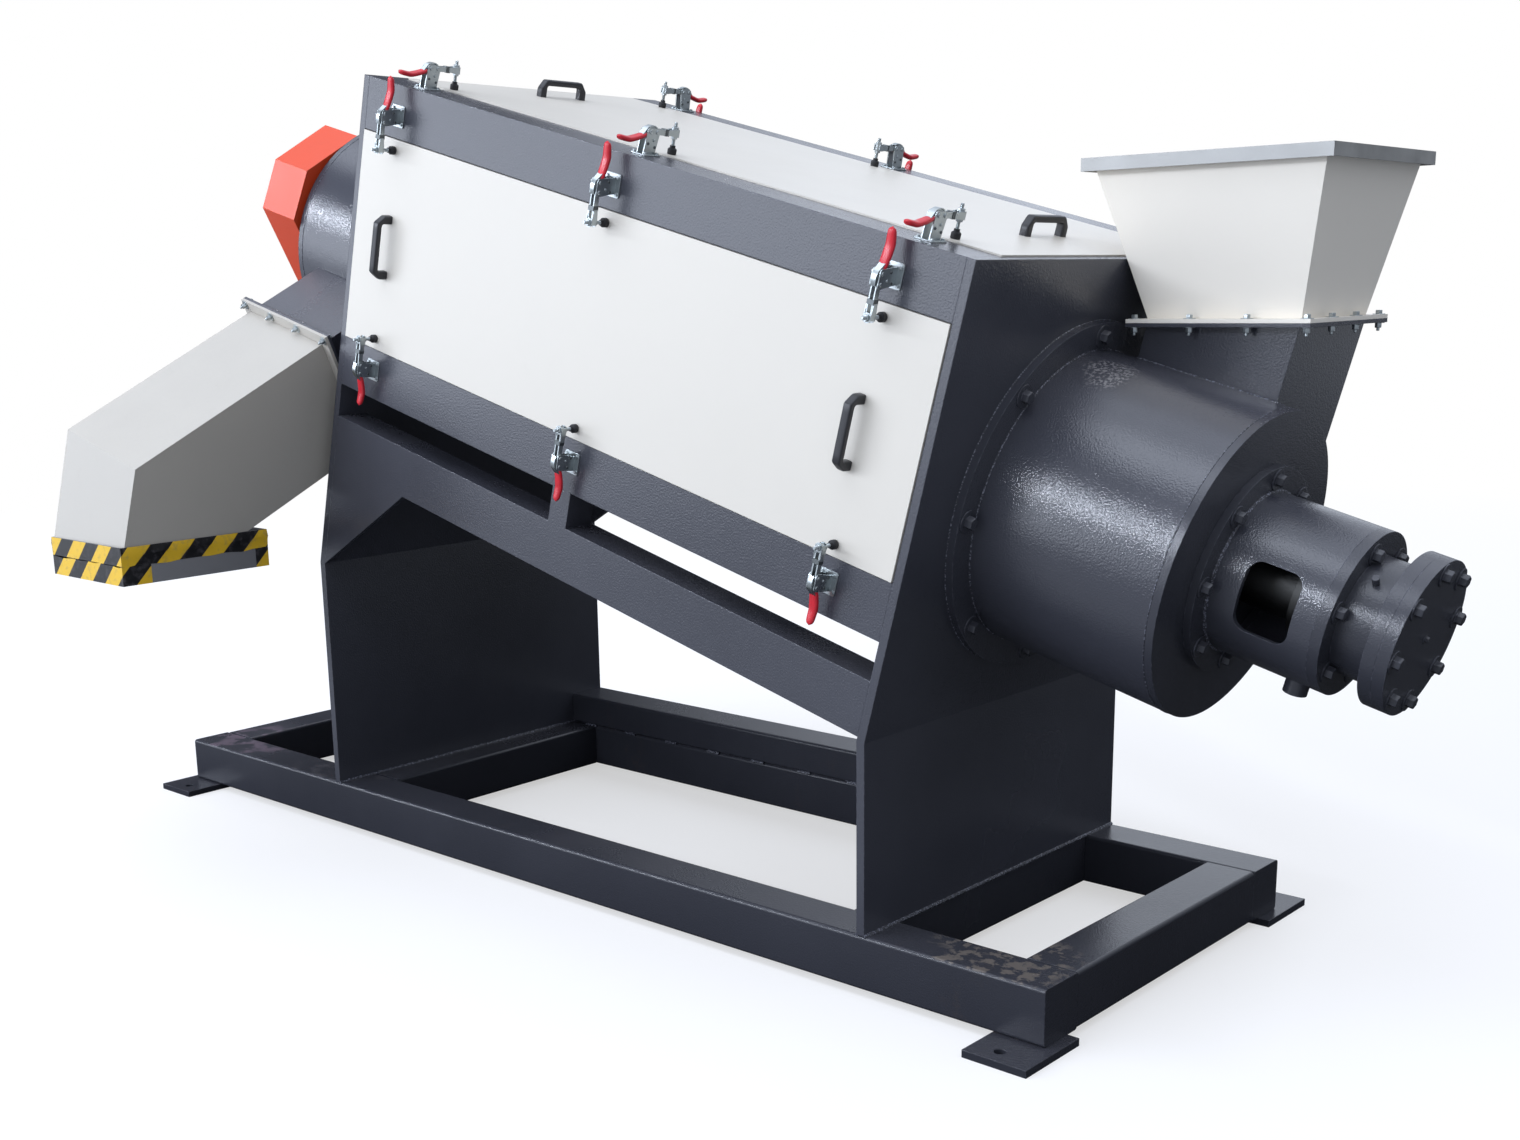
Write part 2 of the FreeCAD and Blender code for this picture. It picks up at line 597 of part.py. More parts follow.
def hopper():
    """Sheet funnel with a folded bare rim."""
    z0 = hopper_z0
    z1 = hopper_z1
    low = (throat_x0, throat_x1, CHUTE_Y0, chute_y1)
    high = (throat_x0 - hopper_lean * (z1 - z0), throat_x1 + HOPPER_OVER_END,
            CHUTE_Y0 - HOPPER_OVER_FRONT, chute_y1 + HOPPER_OVER_REAR)
    body = funnel(low, high, z0, z1, 0)
    save("hopper", body.cut(funnel(low, high, z0, z1, HOPPER_SHEET)))

    def level_box(grow, a, b):
        return box(high[0] - grow, high[1] + grow, high[2] - grow, high[3] + grow, a, b)

    rim = level_box(RIM_LIP, z1 - RIM_H, z1)
    rim = rim.cut(level_box(RIM_LIP - RIM_SHEET, z1 - RIM_H - 1, z1 - RIM_SHEET))
    rim = rim.cut(level_box(0, z1 - RIM_SHEET - 1, z1 + 1))
    save("hopper_rim", rim.cut(body))


def funnel(low, high, z0, z1, inset):
    """Four-sided funnel solid between two level rectangles (x0, x1, y0, y1)."""
    over = 0.02 if inset else 0.0

    def ring(t):
        ax, bx, ay, by = [a + (b - a) * t for a, b in zip(low, high)]
        ax, ay, bx, by = ax + inset, ay + inset, bx - inset, by - inset
        z = z0 + (z1 - z0) * t
        return [V(ax, ay, z), V(bx, ay, z), V(bx, by, z), V(ax, by, z)]

    lo, hi = ring(-over), ring(1 + over)
    faces = [Part.Face(Part.makePolygon(r + r[:1])) for r in (lo, hi)]
    for i in range(4):
        k = (i + 1) % 4
        faces.append(Part.Face(Part.makePolygon([lo[i], lo[k], hi[k], hi[i], lo[i]])))
    solid = Part.Solid(Part.Shell(faces))
    if solid.Volume < 0:
        solid.reverse()
    return solid


def on_slope(along, across):
    """Point (y, n) of the discharge chute: down its slope and square to it."""
    a = math.radians(DCHUTE_SLOPE)
    return (DCHUTE_TOP_Y - math.cos(a) * along + math.sin(a) * across,
            DCHUTE_TOP_N - math.sin(a) * along - math.cos(a) * across)


def slope_box(start, end, inset, u_inset):
    """Straight stretch of the discharge chute, inset for its hollow."""
    corners = [on_slope(start, inset), on_slope(end, inset),
               on_slope(end, DCHUTE_H - inset), on_slope(start, DCHUTE_H - inset)]
    return prism_u(corners, dchute_u0 + u_inset, dchute_u1 - u_inset)


def discharge_end():
    """Drum, side box, bolted chute with its mouth, drive bearing, guard and motor."""
    front_half = box(-FAR, 0, -FAR, -DBOX_FROM_AXIS, -FAR, FAR)
    tunnel = slope_box(-DBOX_BACK, DBOX_FROM_AXIS, SHEET, SHEET)
    drum = pipe(DRUM_R, DRUM_WALL, dis_disc_u, DIS_U)
    save("discharge_drum", tilt(drum.cut(tunnel.common(front_half))))
    disc_u0 = dis_disc_u - DISC_T
    disc = rod(DRUM_R, disc_u0, dis_disc_u)
    save("discharge_disc", tilt(disc.cut(rod(SHAFT_R + SHAFT_GAP, disc_u0 - 1, dis_disc_u + 1))))
    shell = slope_box(-DBOX_BACK, 0, 0, 0).cut(slope_box(-DBOX_BACK - 1, 1, SHEET, SHEET))
    shell = shell.cut(rod(DRUM_R, disc_u0 - 1, DIS_U + 1)).common(front_half)
    save("discharge_box", tilt(max(shell.Solids, key=lambda s: s.Volume)))
    lip = DCHUTE_FLANGE_LIP
    for name, a, b in (("discharge_box_flange", -FLANGE_T, 0), ("chute_flange", 0, FLANGE_T)):
        plate = prism_u([on_slope(a, -lip), on_slope(b, -lip), on_slope(b, DCHUTE_H + lip),
                         on_slope(a, DCHUTE_H + lip)], dchute_u0 - lip, dchute_u1 + lip)
        save(name, tilt(plate.cut(slope_box(a - 1, b + 1, 0, 0))))
    discharge_chute()
    bore = rod(SHAFT_R + RUN_CLEAR, guard_u1 - 1, disc_u0 + 1)
    save("drive_bearing", tilt(rod(DRIVE_BEARING_R, guard_u1, disc_u0).cut(bore)))
    drive()


def discharge_chute():
    """Sloping sheet chute with a level mouth, and the collar round the mouth."""
    def body(inset, start, floor_z):
        knee = on_slope(DCHUTE_RUN, 0)
        foot = (knee[0] - DCHUTE_DROP * DCHUTE_LEAN + inset, knee[1] - DCHUTE_DROP)
        outline = [on_slope(start, inset), on_slope(DCHUTE_RUN - inset / 2, inset), foot,
                   on_slope(DCHUTE_UNDER_RUN, DCHUTE_H - inset), on_slope(start, DCHUTE_H - inset)]
        solid = tilt(prism_u(outline, dchute_u0 + inset, dchute_u1 - inset))
        return solid.common(box(-FAR, FAR, -FAR, FAR, floor_z, FAR))

    outside = body(0, 0, MOUTH_Z)
    save("discharge_chute", outside.cut(body(DCHUTE_SHEET, -1, MOUTH_Z - 1)))
    mouth = outside.common(box(-FAR, FAR, -FAR, FAR, MOUTH_Z, MOUTH_Z + 1)).BoundBox
    t = SHEET
    top = MOUTH_Z + MOUTH_COLLAR_LAP
    low = top - MOUTH_COLLAR_H
    x0, x1, y0, y1 = mouth.XMin, mouth.XMax, mouth.YMin, mouth.YMax + MOUTH_COLLAR_REAR
    collar = box(x0 - t, x1 + t, y0 - t, y1, low, top)
    collar = collar.cut(box(x0, x1, y0, y1 - t, low - 1, top + 1))
    save("mouth_collar", collar.cut(outside))


def drive():
    """Sheet guard over the belts, and the motor on its stand."""
    low = []
    for a in GUARD_FOOT_ANGLES:
        low.append((MOTOR_Y + GUARD_FOOT_R * math.cos(math.radians(a)),
                    MOTOR_N + GUARD_FOOT_R * math.sin(math.radians(a))))
    outline = [GUARD_RIDGE, GUARD_EAVE, GUARD_SIDE] + low + [GUARD_BACK]
    case = prism_u(outline, guard_u0, guard_u1)
    inner_face = guard_u0 + GUARD_SHEET
    wire = Part.makePolygon([V(inner_face, y, n) for y, n in outline + outline[:1]])
    room = Part.Face(wire).makeOffset2D(-GUARD_SHEET).extrude(V(GUARD_D - 2 * GUARD_SHEET, 0, 0))
    wall_u0 = guard_u1 - GUARD_SHEET - 1
    case = case.cut(room).cut(rod(SHAFT_R + GUARD_SHAFT_HOLE, wall_u0, guard_u1 + 1))
    case = case.cut(rod(MOTOR_SHAFT_R + GUARD_SHAFT_HOLE, wall_u0, guard_u1 + 1, MOTOR_Y, MOTOR_N))
    save("belt_guard", tilt(case))

    y, n = MOTOR_Y, MOTOR_N
    m0 = guard_u1 + MOTOR_FROM_GUARD
    m1 = m0 + MOTOR_L
    fan_u = m1 - MOTOR_FAN_L
    mid = (m0 + MOTOR_BELL_T + fan_u) / 2
    foot_n = n - MOTOR_FOOT_N

    def block(length, width, n0, n1):
        return box(mid - length / 2, mid + length / 2, y - width / 2, y + width / 2, n0, n1)

    motor = [rod(MOTOR_R, m0 + MOTOR_BELL_T, fan_u, y, n),
             rod(MOTOR_R - 2 * MOTOR_FAN_LIP, m0, m0 + MOTOR_BELL_T, y, n),
             rod(MOTOR_R + MOTOR_FAN_LIP, fan_u, m1, y, n),
             rod(MOTOR_SHAFT_R, m0 - MOTOR_SHAFT_OUT, m0 + MOTOR_BELL_T, y, n),
             block(MOTOR_FOOT_L, MOTOR_FOOT_W, foot_n, foot_n + MOTOR_FOOT_T),
             block(MOTOR_SADDLE_L, MOTOR_SADDLE_W, foot_n, n),
             block(TERMINAL_L, TERMINAL_W, n, n + MOTOR_R + TERMINAL_H)]
    save("motor", tilt(fuse(motor)))
    motor_stand(mid, foot_n)


def motor_stand(mid, foot_n):
    """Tilted plate under the motor feet on two upright plates off the rear rail."""
    y0, y1 = MOTOR_Y - MOTOR_FOOT_W / 2 - STAND_EDGE, MOTOR_Y + MOTOR_FOOT_W / 2 + STAND_EDGE
    half_l = MOTOR_FOOT_L / 2
    plate = tilt(box(mid - half_l - STAND_EDGE, mid + half_l + STAND_EDGE, y0, y1,
                     foot_n - STAND_T, foot_n))
    above = tilt(box(-FAR, FAR, -FAR, FAR, foot_n - STAND_T, FAR))
    legs = []
    for u in (mid - half_l, mid + half_l):
        at = world(u, 0, foot_n)
        outline = [(half_w - RAIL, base_top), (half_w, base_top), (y1, at.z), (y0, at.z)]
        wire = Part.makePolygon([V(at.x, y, z) for y, z in outline + outline[:1]])
        leg = Part.Face(wire).extrude(V(STAND_LEG_T, 0, 0))
        legs.append(leg.cut(above))
    save("motor_stand", fuse([plate] + legs))


def rotor():
    """Shaft with its locking collar, feed screw and throw-out paddles."""
    save("rotor_shaft", tilt(rod(SHAFT_R, guard_u0 + 2 * GUARD_SHEET, cover_u0 - SHAFT_END_GAP)))
    c1 = lantern_u0 + WINDOW_FROM_RING + WINDOW_L - COLLAR_FROM_WINDOW_END
    c0 = c1 - COLLAR_L
    collar_r = SHAFT_R + COLLAR_LIP
    collar = pipe(collar_r, COLLAR_LIP, c0, c1)
    slit = box(c0 - 1, c1 + 1, -COLLAR_SLIT / 2, COLLAR_SLIT / 2, 0, collar_r + 1)
    save("shaft_collar", tilt(collar.cut(slit)))
    s0, s1 = FEED_U + SCREW_END_GAP, disc_u - SCREW_END_GAP
    edges = []
    for r in (SHAFT_R, screw_r):
        edges.append(Part.makeHelix(SCREW_PITCH, s1 - s0 - SCREW_T, r).Edges[0])
    flight = Part.makeRuledSurface(edges[0], edges[1]).extrude(V(0, 0, SCREW_T))
    flight.rotate(V(0, 0, 0), V(0, 1, 0), 90)
    flight.translate(V(s0, 0, 0))
    save("feed_screw", tilt(flight))
    p0 = (DIS_U + dis_disc_u - PADDLE_L) / 2
    blades = []
    for k in range(PADDLE_COUNT):
        blade = box(p0, p0 + PADDLE_L, -PADDLE_T / 2, PADDLE_T / 2, 0, paddle_r)
        blade.rotate(V(0, 0, 0), V(1, 0, 0), PADDLE_START + k * 360.0 / PADDLE_COUNT)
        blades.append(blade.cut(rod(SHAFT_R, p0 - 1, p0 + PADDLE_L + 1)))
    save("throw_paddles", tilt(Part.makeCompound(blades)))


base_frame()
save("end_plate_discharge", end_plate(dis_leg_x, DIS_U, 1))
save("end_plate_feed", end_plate(feed_leg_x, FEED_U, -1))
casing()
fittings()
feed_end()
discharge_end()
rotor()
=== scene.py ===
"""Looks of an inclined friction washer: paints, bolts, welds, clamps, tape and studio."""

import json
import math

import bmesh
import bpy
from bpy.props import FloatProperty, FloatVectorProperty, IntProperty, PointerProperty
from mathutils import Matrix, Vector, noise


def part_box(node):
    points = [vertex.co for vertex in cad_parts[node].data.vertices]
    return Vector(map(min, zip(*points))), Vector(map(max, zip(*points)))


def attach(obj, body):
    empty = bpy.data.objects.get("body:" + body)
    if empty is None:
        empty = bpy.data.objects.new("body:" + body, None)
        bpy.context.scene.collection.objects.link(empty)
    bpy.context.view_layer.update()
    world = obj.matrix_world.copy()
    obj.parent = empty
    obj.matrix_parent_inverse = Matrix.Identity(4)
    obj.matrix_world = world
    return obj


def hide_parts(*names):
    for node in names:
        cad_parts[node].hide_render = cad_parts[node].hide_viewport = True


bl_info = {
    "name": "Friction washer looks",
    "version": (1, 0, 0),
    "blender": (4, 5, 0),
    "location": "3D View > Sidebar > Washer",
    "description": "Paints, bolts, welds, clamps and studio for an inclined friction washer",
    "category": "Object",
}

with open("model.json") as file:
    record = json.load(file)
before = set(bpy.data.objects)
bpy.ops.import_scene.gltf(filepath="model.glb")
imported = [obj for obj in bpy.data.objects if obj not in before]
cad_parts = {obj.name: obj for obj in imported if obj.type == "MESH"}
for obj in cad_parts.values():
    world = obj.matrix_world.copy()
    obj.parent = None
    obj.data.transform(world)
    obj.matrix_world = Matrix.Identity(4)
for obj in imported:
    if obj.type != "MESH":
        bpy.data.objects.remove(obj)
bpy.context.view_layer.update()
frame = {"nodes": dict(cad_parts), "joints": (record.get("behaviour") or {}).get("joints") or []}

# The rotor's axis: u runs along it to the feed end, n is square to it and upwards
SPIN = frame["joints"][0]
ORIGIN = Vector(SPIN["pos_m"])
ALONG = Vector(SPIN["axis"]).normalized()
ACROSS = Vector((0, 1, 0))
UP_N = ALONG.cross(ACROSS)
UP = Vector((0, 0, 1))
MM = 0.001
TURN = 2 * math.pi


def at(u, y, n):
    """Place of a point given along, across and square to the rotor axis."""
    return ORIGIN + ALONG * u + ACROSS * y + UP_N * n


def corners(node):
    """Vertices of a node of the frame."""
    return [v.co.copy() for v in frame["nodes"][node].data.vertices]


def unplace(point):
    """u, y and n of a point."""
    return [(point - ORIGIN).dot(axis) for axis in (ALONG, ACROSS, UP_N)]


def span(node):
    """Lowest and highest u, y and n of a node of the frame."""
    return [(min(values), max(values)) for values in zip(*map(unplace, corners(node)))]


def axes(point, z_dir, x_dir):
    """Matrix that puts a local z along z_dir and a local x near x_dir at a point."""
    z = z_dir.normalized()
    x = (x_dir - z * x_dir.dot(z)).normalized()
    y = z.cross(x)
    m = Matrix.Identity(4)
    for i, axis in enumerate((x, y, z)):
        m.col[i].xyz = axis
    m.translation = point
    return m


def direction(azimuth, elevation):
    """Unit vector from the machine; azimuth 0 is +X and 90 is +Y, in degrees."""
    a, e = math.radians(azimuth), math.radians(elevation)
    return Vector((math.cos(a) * math.cos(e), math.sin(a) * math.cos(e), math.sin(e)))


# Thickness and bolt circle of the rim on the lantern's end; end cover's circle over its radius
RIM_T = 0.022
RIM_BOLT_R = 0.134
COVER_BOLTS = 0.853
# Sheet flanges: bolts from the edge, and thickness of two flanges together
FLANGE_INSET = 0.013
FLANGE_GRIP = 0.016

# Gap along the rotor axis that parts two fittings of one node
ROW_GAP = 0.1
# Edges with a larger turn than this are sharp
SHARP_ANGLE = math.radians(35)

# Clamps, in millimetres: gap between the side plates, arm, from the foot's middle to the grip,
# rubber tip, spindle over the arm, pitch of its thread
SIDE_GAP = 15
ARM_W = 14
ARM_H = 12
GRIP_FROM = 8
TIP_H = 14
SPINDLE_OVER = 22
THREAD = 1.25

# Share of the motor's length that has fins, and the cosines from n between which they stand
FINS_OF_LENGTH = 0.54
FINS_FROM, FINS_TO = -0.82, 0.72

# Stitch beads of the upper beam: first place, length and distance between their starts
STITCH_START, STITCH, STITCH_STEP = 0.06, 0.045, 0.17
# Beads on the rails' ends stop short of the edge, and a disc's bead stands proud of the drum
RAIL_END = 6 * MM
EDGE_RISE = 0.2 * MM
# From the edge of the chute flange to the wall of the discharge box
BOX_INSET = 0.028
# The feed chute's vertices below this n lie on the drum
CHUTE_FOOT = 0.4

# A light and a dark stripe together along the tape, the collar's sheet, steps of the waves
TAPE_PITCH = 0.125
WALL = 4 * MM
TAPE_STEP = 8 * MM
# Lower tape over the upper one's width, its share of the side wall, and the rear tape's width
LOW_TAPE, LOW_TAPE_SIDE, REAR_TAPE = 1.04, 0.19, 0.8
# Shift of the waves and stripes of the upper and the rear tape, start of the rear one's stripes
UPPER_PHASE, REAR_PHASE, REAR_START = 0.10, 0.3, 0.05

# Centre, radius, grain, strength and colour of single marks
# The drum's mark is a light grey speckle on its top: painted sparkle, a painted highlight.
DRUM_PAINTED_SPARKLE = ((at(1.336, -0.104, 0.3026), 0.060, 150.0, 0.7, (0.30, 0.29, 0.30)),)
BASE_PATCHES = (((1.36, -0.42, 0.14), 0.17, 42.0, 0.75, (0.17, 0.145, 0.125)),
                ((-1.36, -0.42, 0.14), 0.22, 16.0, 0.55, (0.20, 0.15, 0.19)),
                ((-0.85, -0.46, 0.14), 0.20, 22.0, 0.30, (0.12, 0.11, 0.12)))

# The hall round the machine: radiance all round, then for each bright part its azimuth and
# elevation, the cosines where it starts and is full, and its radiance
HALL_BASE = 0.04
HALL_LOBES = ((-88, 6, 0.25, 0.95, 0.85), (90, 74, 0.55, 0.95, 1.3), (20, 40, 0.30, 0.95, 0.36),
              (116, 16, 0.94, 0.995, 1.2))
# Name, azimuth, elevation, distance in metres, width and height in metres, radiance
HALL_LIGHTS = (("doorway", -134, 4.5, 15.0, (12.5, 4.6), 2.7),
               ("windows", -120, 21.0, 15.0, (17.0, 0.30), 90.0),
               ("ceiling", -115, 66, 6.0, (9.0, 2.6), 1.9))
# Tint of all light and the point that the lights face
DAYLIGHT = (0.90, 0.97, 1.10)
LIT_POINT = Vector((0.2, 0.0, 1.3))
# Floor as the machine sees it: dark and pale reflectance, where it turns pale further out and in
# front, and how pale it is in front
FLOOR_DARK, FLOOR_PALE = 0.04, 0.42
PALE_FAR = (4.0, 7.0)
PALE_FRONT = (-0.6, -1.1)
FRONT_SHARE = 0.75
# Floor as the camera sees it: reflectance, glow, and where it has faded to white
FLOOR_SEEN = (0.42, 0.42, 0.43, 1.0)
FLOOR_GLOW = 0.56
WHITE_FAR = (4.0, 9.0)
# Camera: place in metres and shift of its frame
CAMERA_PLACE = Vector((3.1397, -3.1924, 1.4610))
CAMERA_SHIFT = (0.0305, 0.0764)


def colour(name, text, default):
    """A colour that a user can change."""
    return FloatVectorProperty(name=name, description=text, default=default, subtype="COLOR",
                               size=3, min=0, max=1)


def size(name, text, default_mm):
    """A length that a user can change, kept in metres."""
    return FloatProperty(name=name, description=text, default=default_mm * MM, unit="LENGTH",
                         min=0)


class WasherPaints(bpy.types.PropertyGroup):
    """Colours of the finishes."""

    casing: colour("Casing paint", "Dark blue-grey enamel", (0.050, 0.052, 0.066))
    panel: colour("Panel paint", "Warm white enamel of doors, cover, hopper and chute",
                  (0.69, 0.65, 0.582))
    guard: colour("Guard paint", "Orange of the belt guard", (0.66, 0.062, 0.016))
    motor: colour("Motor paint", "Blue-grey of the motor", (0.10, 0.13, 0.17))
    collar: colour("Collar paint", "Grey of the collar round the mouth", (0.20, 0.20, 0.21))
    zinc: colour("Zinc plate", "Passivated zinc of clamps and small bolts", (0.46, 0.50, 0.51))
    steel: colour("Bare steel", "Rotor and folded hopper rim", (0.50, 0.50, 0.49))
    grip: colour("Clamp grip", "Red vinyl of the clamp grips", (0.60, 0.016, 0.030))
    rubber: colour("Rubber", "Clamp tips", (0.012, 0.012, 0.014))
    plastic: colour("Handle plastic", "Black of the bridge handles", (0.018, 0.018, 0.021))
    tape_light: colour("Tape, light stripe", "Yellow of the hazard tape", (0.80, 0.50, 0.030))
    tape_dark: colour("Tape, dark stripe", "Black of the hazard tape", (0.012, 0.012, 0.013))
    dust: colour("Dust", "Settled workshop dust", (0.15, 0.135, 0.15))
    stain: colour("Stain", "Dried brown drips", (0.10, 0.066, 0.042))


class WasherBolts(bpy.types.PropertyGroup):
    """Sizes of the hexagon bolts, across the flats."""

    ring: size("Drum flange bolt", "Bolts of the large ring flange", 24)
    bearing: size("Bearing ring bolt", "Bolts of the bearing ring", 22)
    rim: size("Lantern rim bolt", "Bolts between lantern and bearing housing", 22)
    cover: size("End cover bolt", "Bolts of the round end cover", 22)
    screw: size("Cover screw", "Middle screw of the end cover", 10)
    sheet: size("Sheet flange bolt", "Bolts of the hopper and chute flanges", 12)
    head: FloatProperty(name="Head height", description="Head height over width", default=0.62,
                        min=0.1, max=1.5)


class WasherClamps(bpy.types.PropertyGroup):
    """Sizes of a closed toggle clamp, from its foot."""

    foot_length: size("Foot length", "Foot plate along the arm", 50)
    foot_width: size("Foot width", "Foot plate across the arm", 46)
    plate: size("Plate", "Thickness of foot and side plates", 3)
    reach: size("Reach", "Foot centre to spindle", 80)
    height: size("Arm height", "Arm over the foot's face", 48)
    spindle: size("Spindle radius", "Threaded spindle", 4)
    tip: size("Tip radius", "Rubber tip", 10)
    panel_step: size("Panel step", "Panel face over the foot's face", 3)
    grip_length: size("Grip length", "Red grip", 82)
    grip_width: size("Grip width", "Red grip at its widest", 22)


class WasherWelds(bpy.types.PropertyGroup):
    """Sizes of the weld beads."""

    leg: size("Bead", "Width of a large bead", 9)
    small_leg: size("Small bead", "Width of a bead on sheet", 5)
    fine_leg: size("Fine bead", "Width of a bead round the edge of a disc", 2.4)
    ripple: size("Ripple", "Distance between ripples", 6)


class WasherMotor(bpy.types.PropertyGroup):
    """Sizes of the motor's fins."""

    fins: IntProperty(name="Fins", description="Fins round the motor", default=44, min=8, max=90)
    fin: size("Fin", "Thickness of a fin at its foot", 4)
    fin_height: size("Fin height", "Height of a fin", 6)


class WasherTape(bpy.types.PropertyGroup):
    """Sizes of the hazard tape."""

    width: size("Width", "Width of the tape", 48)
    film: size("Film", "How far the collar's sheet lies under the tape", 0.4)
    fold: size("Fold", "How far the crease along the lip stands out", 3)
    wave: size("Wave", "Unevenness of the hand-laid edge", 5)


class WasherStage(bpy.types.PropertyGroup):
    """Camera and light."""

    focal: FloatProperty(name="Focal length", description="On a 36 mm sensor", default=41.15)
    azimuth: FloatProperty(name="Azimuth", description="View direction from +Y towards -X",
                           default=math.radians(42.705), subtype="ANGLE")
    drop: FloatProperty(name="Drop", description="View direction below level",
                        default=math.radians(13.063), subtype="ANGLE")
    roll: FloatProperty(name="Roll", description="Turn about the view direction",
                        default=math.radians(-1.101), subtype="ANGLE")
    floor_half: FloatProperty(name="Floor", description="Half width of the floor", default=30.0,
                              unit="LENGTH")
    light: FloatProperty(name="Light", description="Strength of all soft lights", default=1.0)


def settings(name):
    """Property group of the scene."""
    return getattr(bpy.context.scene, "washer_" + name)


def add_object(name, data):
    """New object in the scene."""
    obj = bpy.data.objects.new(name, data)
    bpy.context.scene.collection.objects.link(obj)
    return obj


# Shader node groups


class Graph:
    """Short way to add and link nodes in a node tree."""

    def __init__(self, tree):
        self.tree = tree
        self.count = 0

    def add(self, kind, **values):
        node = self.tree.nodes.new(kind)
        self.count += 1
        node.location = (self.count * 180, -(self.count % 5) * 160)
        for key, value in values.items():
            setattr(node, key, value)
        return node

    def link(self, source, target):
        self.tree.links.new(source, target)

    def put(self, node, socket, value):
        """Set or link an input of a node."""
        if isinstance(value, bpy.types.NodeSocket):
            self.link(value, node.inputs[socket])
        else:
            node.inputs[socket].default_value = value

    def fill(self, node, **values):
        """Set or link inputs by name; an underscore stands for a space."""
        for label, value in values.items():
            self.put(node, label.replace("_", " "), value)
        return node

    def coords(self):
        """Coordinates of the machine in metres."""
        return self.add("ShaderNodeTexCoord").outputs["Object"]

    def noise(self, coords, scale, detail=3.0, rough=0.55, stretch=None):
        if stretch:
            mapping = self.fill(self.add("ShaderNodeMapping"), Vector=coords, Scale=stretch)
            coords = mapping.outputs["Vector"]
        node = self.add("ShaderNodeTexNoise")
        self.fill(node, Vector=coords, Scale=scale, Detail=detail, Roughness=rough)
        return node.outputs["Fac"]

    def ramp(self, value, low, high, to_low=0.0, to_high=1.0):
        node = self.add("ShaderNodeMapRange", clamp=True)
        self.fill(node, Value=value, From_Min=low, From_Max=high, To_Min=to_low, To_Max=to_high)
        return node.outputs["Result"]

    def math(self, operation, *values, kind="ShaderNodeMath"):
        node = self.add(kind, operation=operation)
        for socket, value in enumerate(values):
            self.put(node, socket, value)
        return node.outputs["Value"]

    def vector(self, operation, *values):
        return self.math(operation, *values, kind="ShaderNodeVectorMath")

    def product(self, value, *others):
        for other in others:
            value = self.math("MULTIPLY", value, other)
        return value

    def split(self, vector):
        """X, Y and Z of a vector."""
        return self.fill(self.add("ShaderNodeSeparateXYZ"), Vector=vector).outputs

    def facing_up(self, low, high):
        """Mask of faces whose normal points up."""
        normal = self.add("ShaderNodeNewGeometry").outputs["Normal"]
        return self.ramp(self.split(normal)["Z"], low, high)

    def mix(self, factor, a, b):
        node = self.add("ShaderNodeMix", data_type="RGBA", blend_type="MIX")
        self.put(node, "Factor", factor)
        for socket, value in ((6, a), (7, b)):
            if not isinstance(value, bpy.types.NodeSocket):
                value = (*value[:3], 1.0)
            self.put(node, socket, value)
        return node.outputs[2]


class Group(Graph):
    """Shader node group under construction, with its inputs and its one output."""

    def __init__(self, name, output, kind="NodeSocketFloat", **inputs):
        super().__init__(bpy.data.node_groups.new(name, "ShaderNodeTree"))
        sockets = self.tree.interface
        for label, default in inputs.items():
            socket = sockets.new_socket(label, in_out="INPUT", socket_type="NodeSocketFloat")
            socket.default_value = default
        sockets.new_socket(output, in_out="OUTPUT", socket_type=kind)
        self.given = self.add("NodeGroupInput").outputs

    def give(self, value):
        """Link the result and hand over the finished group."""
        self.link(value, self.add("NodeGroupOutput").inputs[0])
        return self.tree

    def bevel(self):
        """Normal of edges rounded by the group's radius."""
        node = self.add("ShaderNodeBevel", samples=3)
        return self.fill(node, Radius=self.given["Radius"]).outputs["Normal"]


def group_orange_peel():
    """Fine ripple of sprayed enamel."""
    g = Group("Orange peel", "Height", Scale=260.0, Waviness=0.35)
    coords = g.coords()
    fine = g.noise(coords, g.given["Scale"], 2.0, 0.5)
    wave = g.product(g.noise(coords, 7.0, 2.0, 0.5), g.given["Waviness"])
    return g.give(g.math("ADD", fine, wave))


def group_soft_edge():
    """Normal of edges that are slightly rounded."""
    g = Group("Soft edge", "Normal", "NodeSocketVector", Radius=0.002)
    return g.give(g.bevel())


def group_edge_rub_and_highlight():
    """Mask of outer edges where the finish is rubbed thin, and where a lighter colour is painted as
    an edge highlight.
    """
    g = Group("Edge wear", "Mask", Radius=0.004, Amount=0.5, Scale=60.0)
    normal = g.add("ShaderNodeNewGeometry").outputs["Normal"]
    edge = g.ramp(g.vector("DOT_PRODUCT", g.bevel(), normal), 0.995, 0.90)
    breakup = g.ramp(g.noise(g.coords(), g.given["Scale"], 4.0), 0.45, 0.62)
    return g.give(g.product(edge, breakup, g.given["Amount"]))


def group_dust():
    """Mask of dust that settles on faces that look up."""
    g = Group("Dust", "Mask", Amount=0.4, Scale=3.0)
    coords = g.coords()
    cloud = g.ramp(g.noise(coords, g.given["Scale"], 5.0, 0.6), 0.42, 0.68)
    speck = g.ramp(g.noise(coords, 140.0, 2.0), 0.50, 0.66)
    cloud = g.math("ADD", g.product(cloud, 0.75), g.product(speck, 0.25))
    return g.give(g.product(g.facing_up(0.55, 1.0), cloud, g.given["Amount"]))


def group_stains():
    """Mask of dried drips and water marks."""
    g = Group("Stains", "Mask", Amount=0.3, Scale=9.0, Threshold=0.60)
    coords = g.coords()
    patch = g.noise(coords, g.given["Scale"], 6.0, 0.65, (1.0, 1.0, 0.55))
    mask = g.ramp(g.math("SUBTRACT", patch, g.given["Threshold"]), 0.0, 0.16)
    breakup = g.ramp(g.noise(coords, 90.0, 3.0), 0.35, 0.7)
    return g.give(g.product(mask, breakup, g.given["Amount"]))


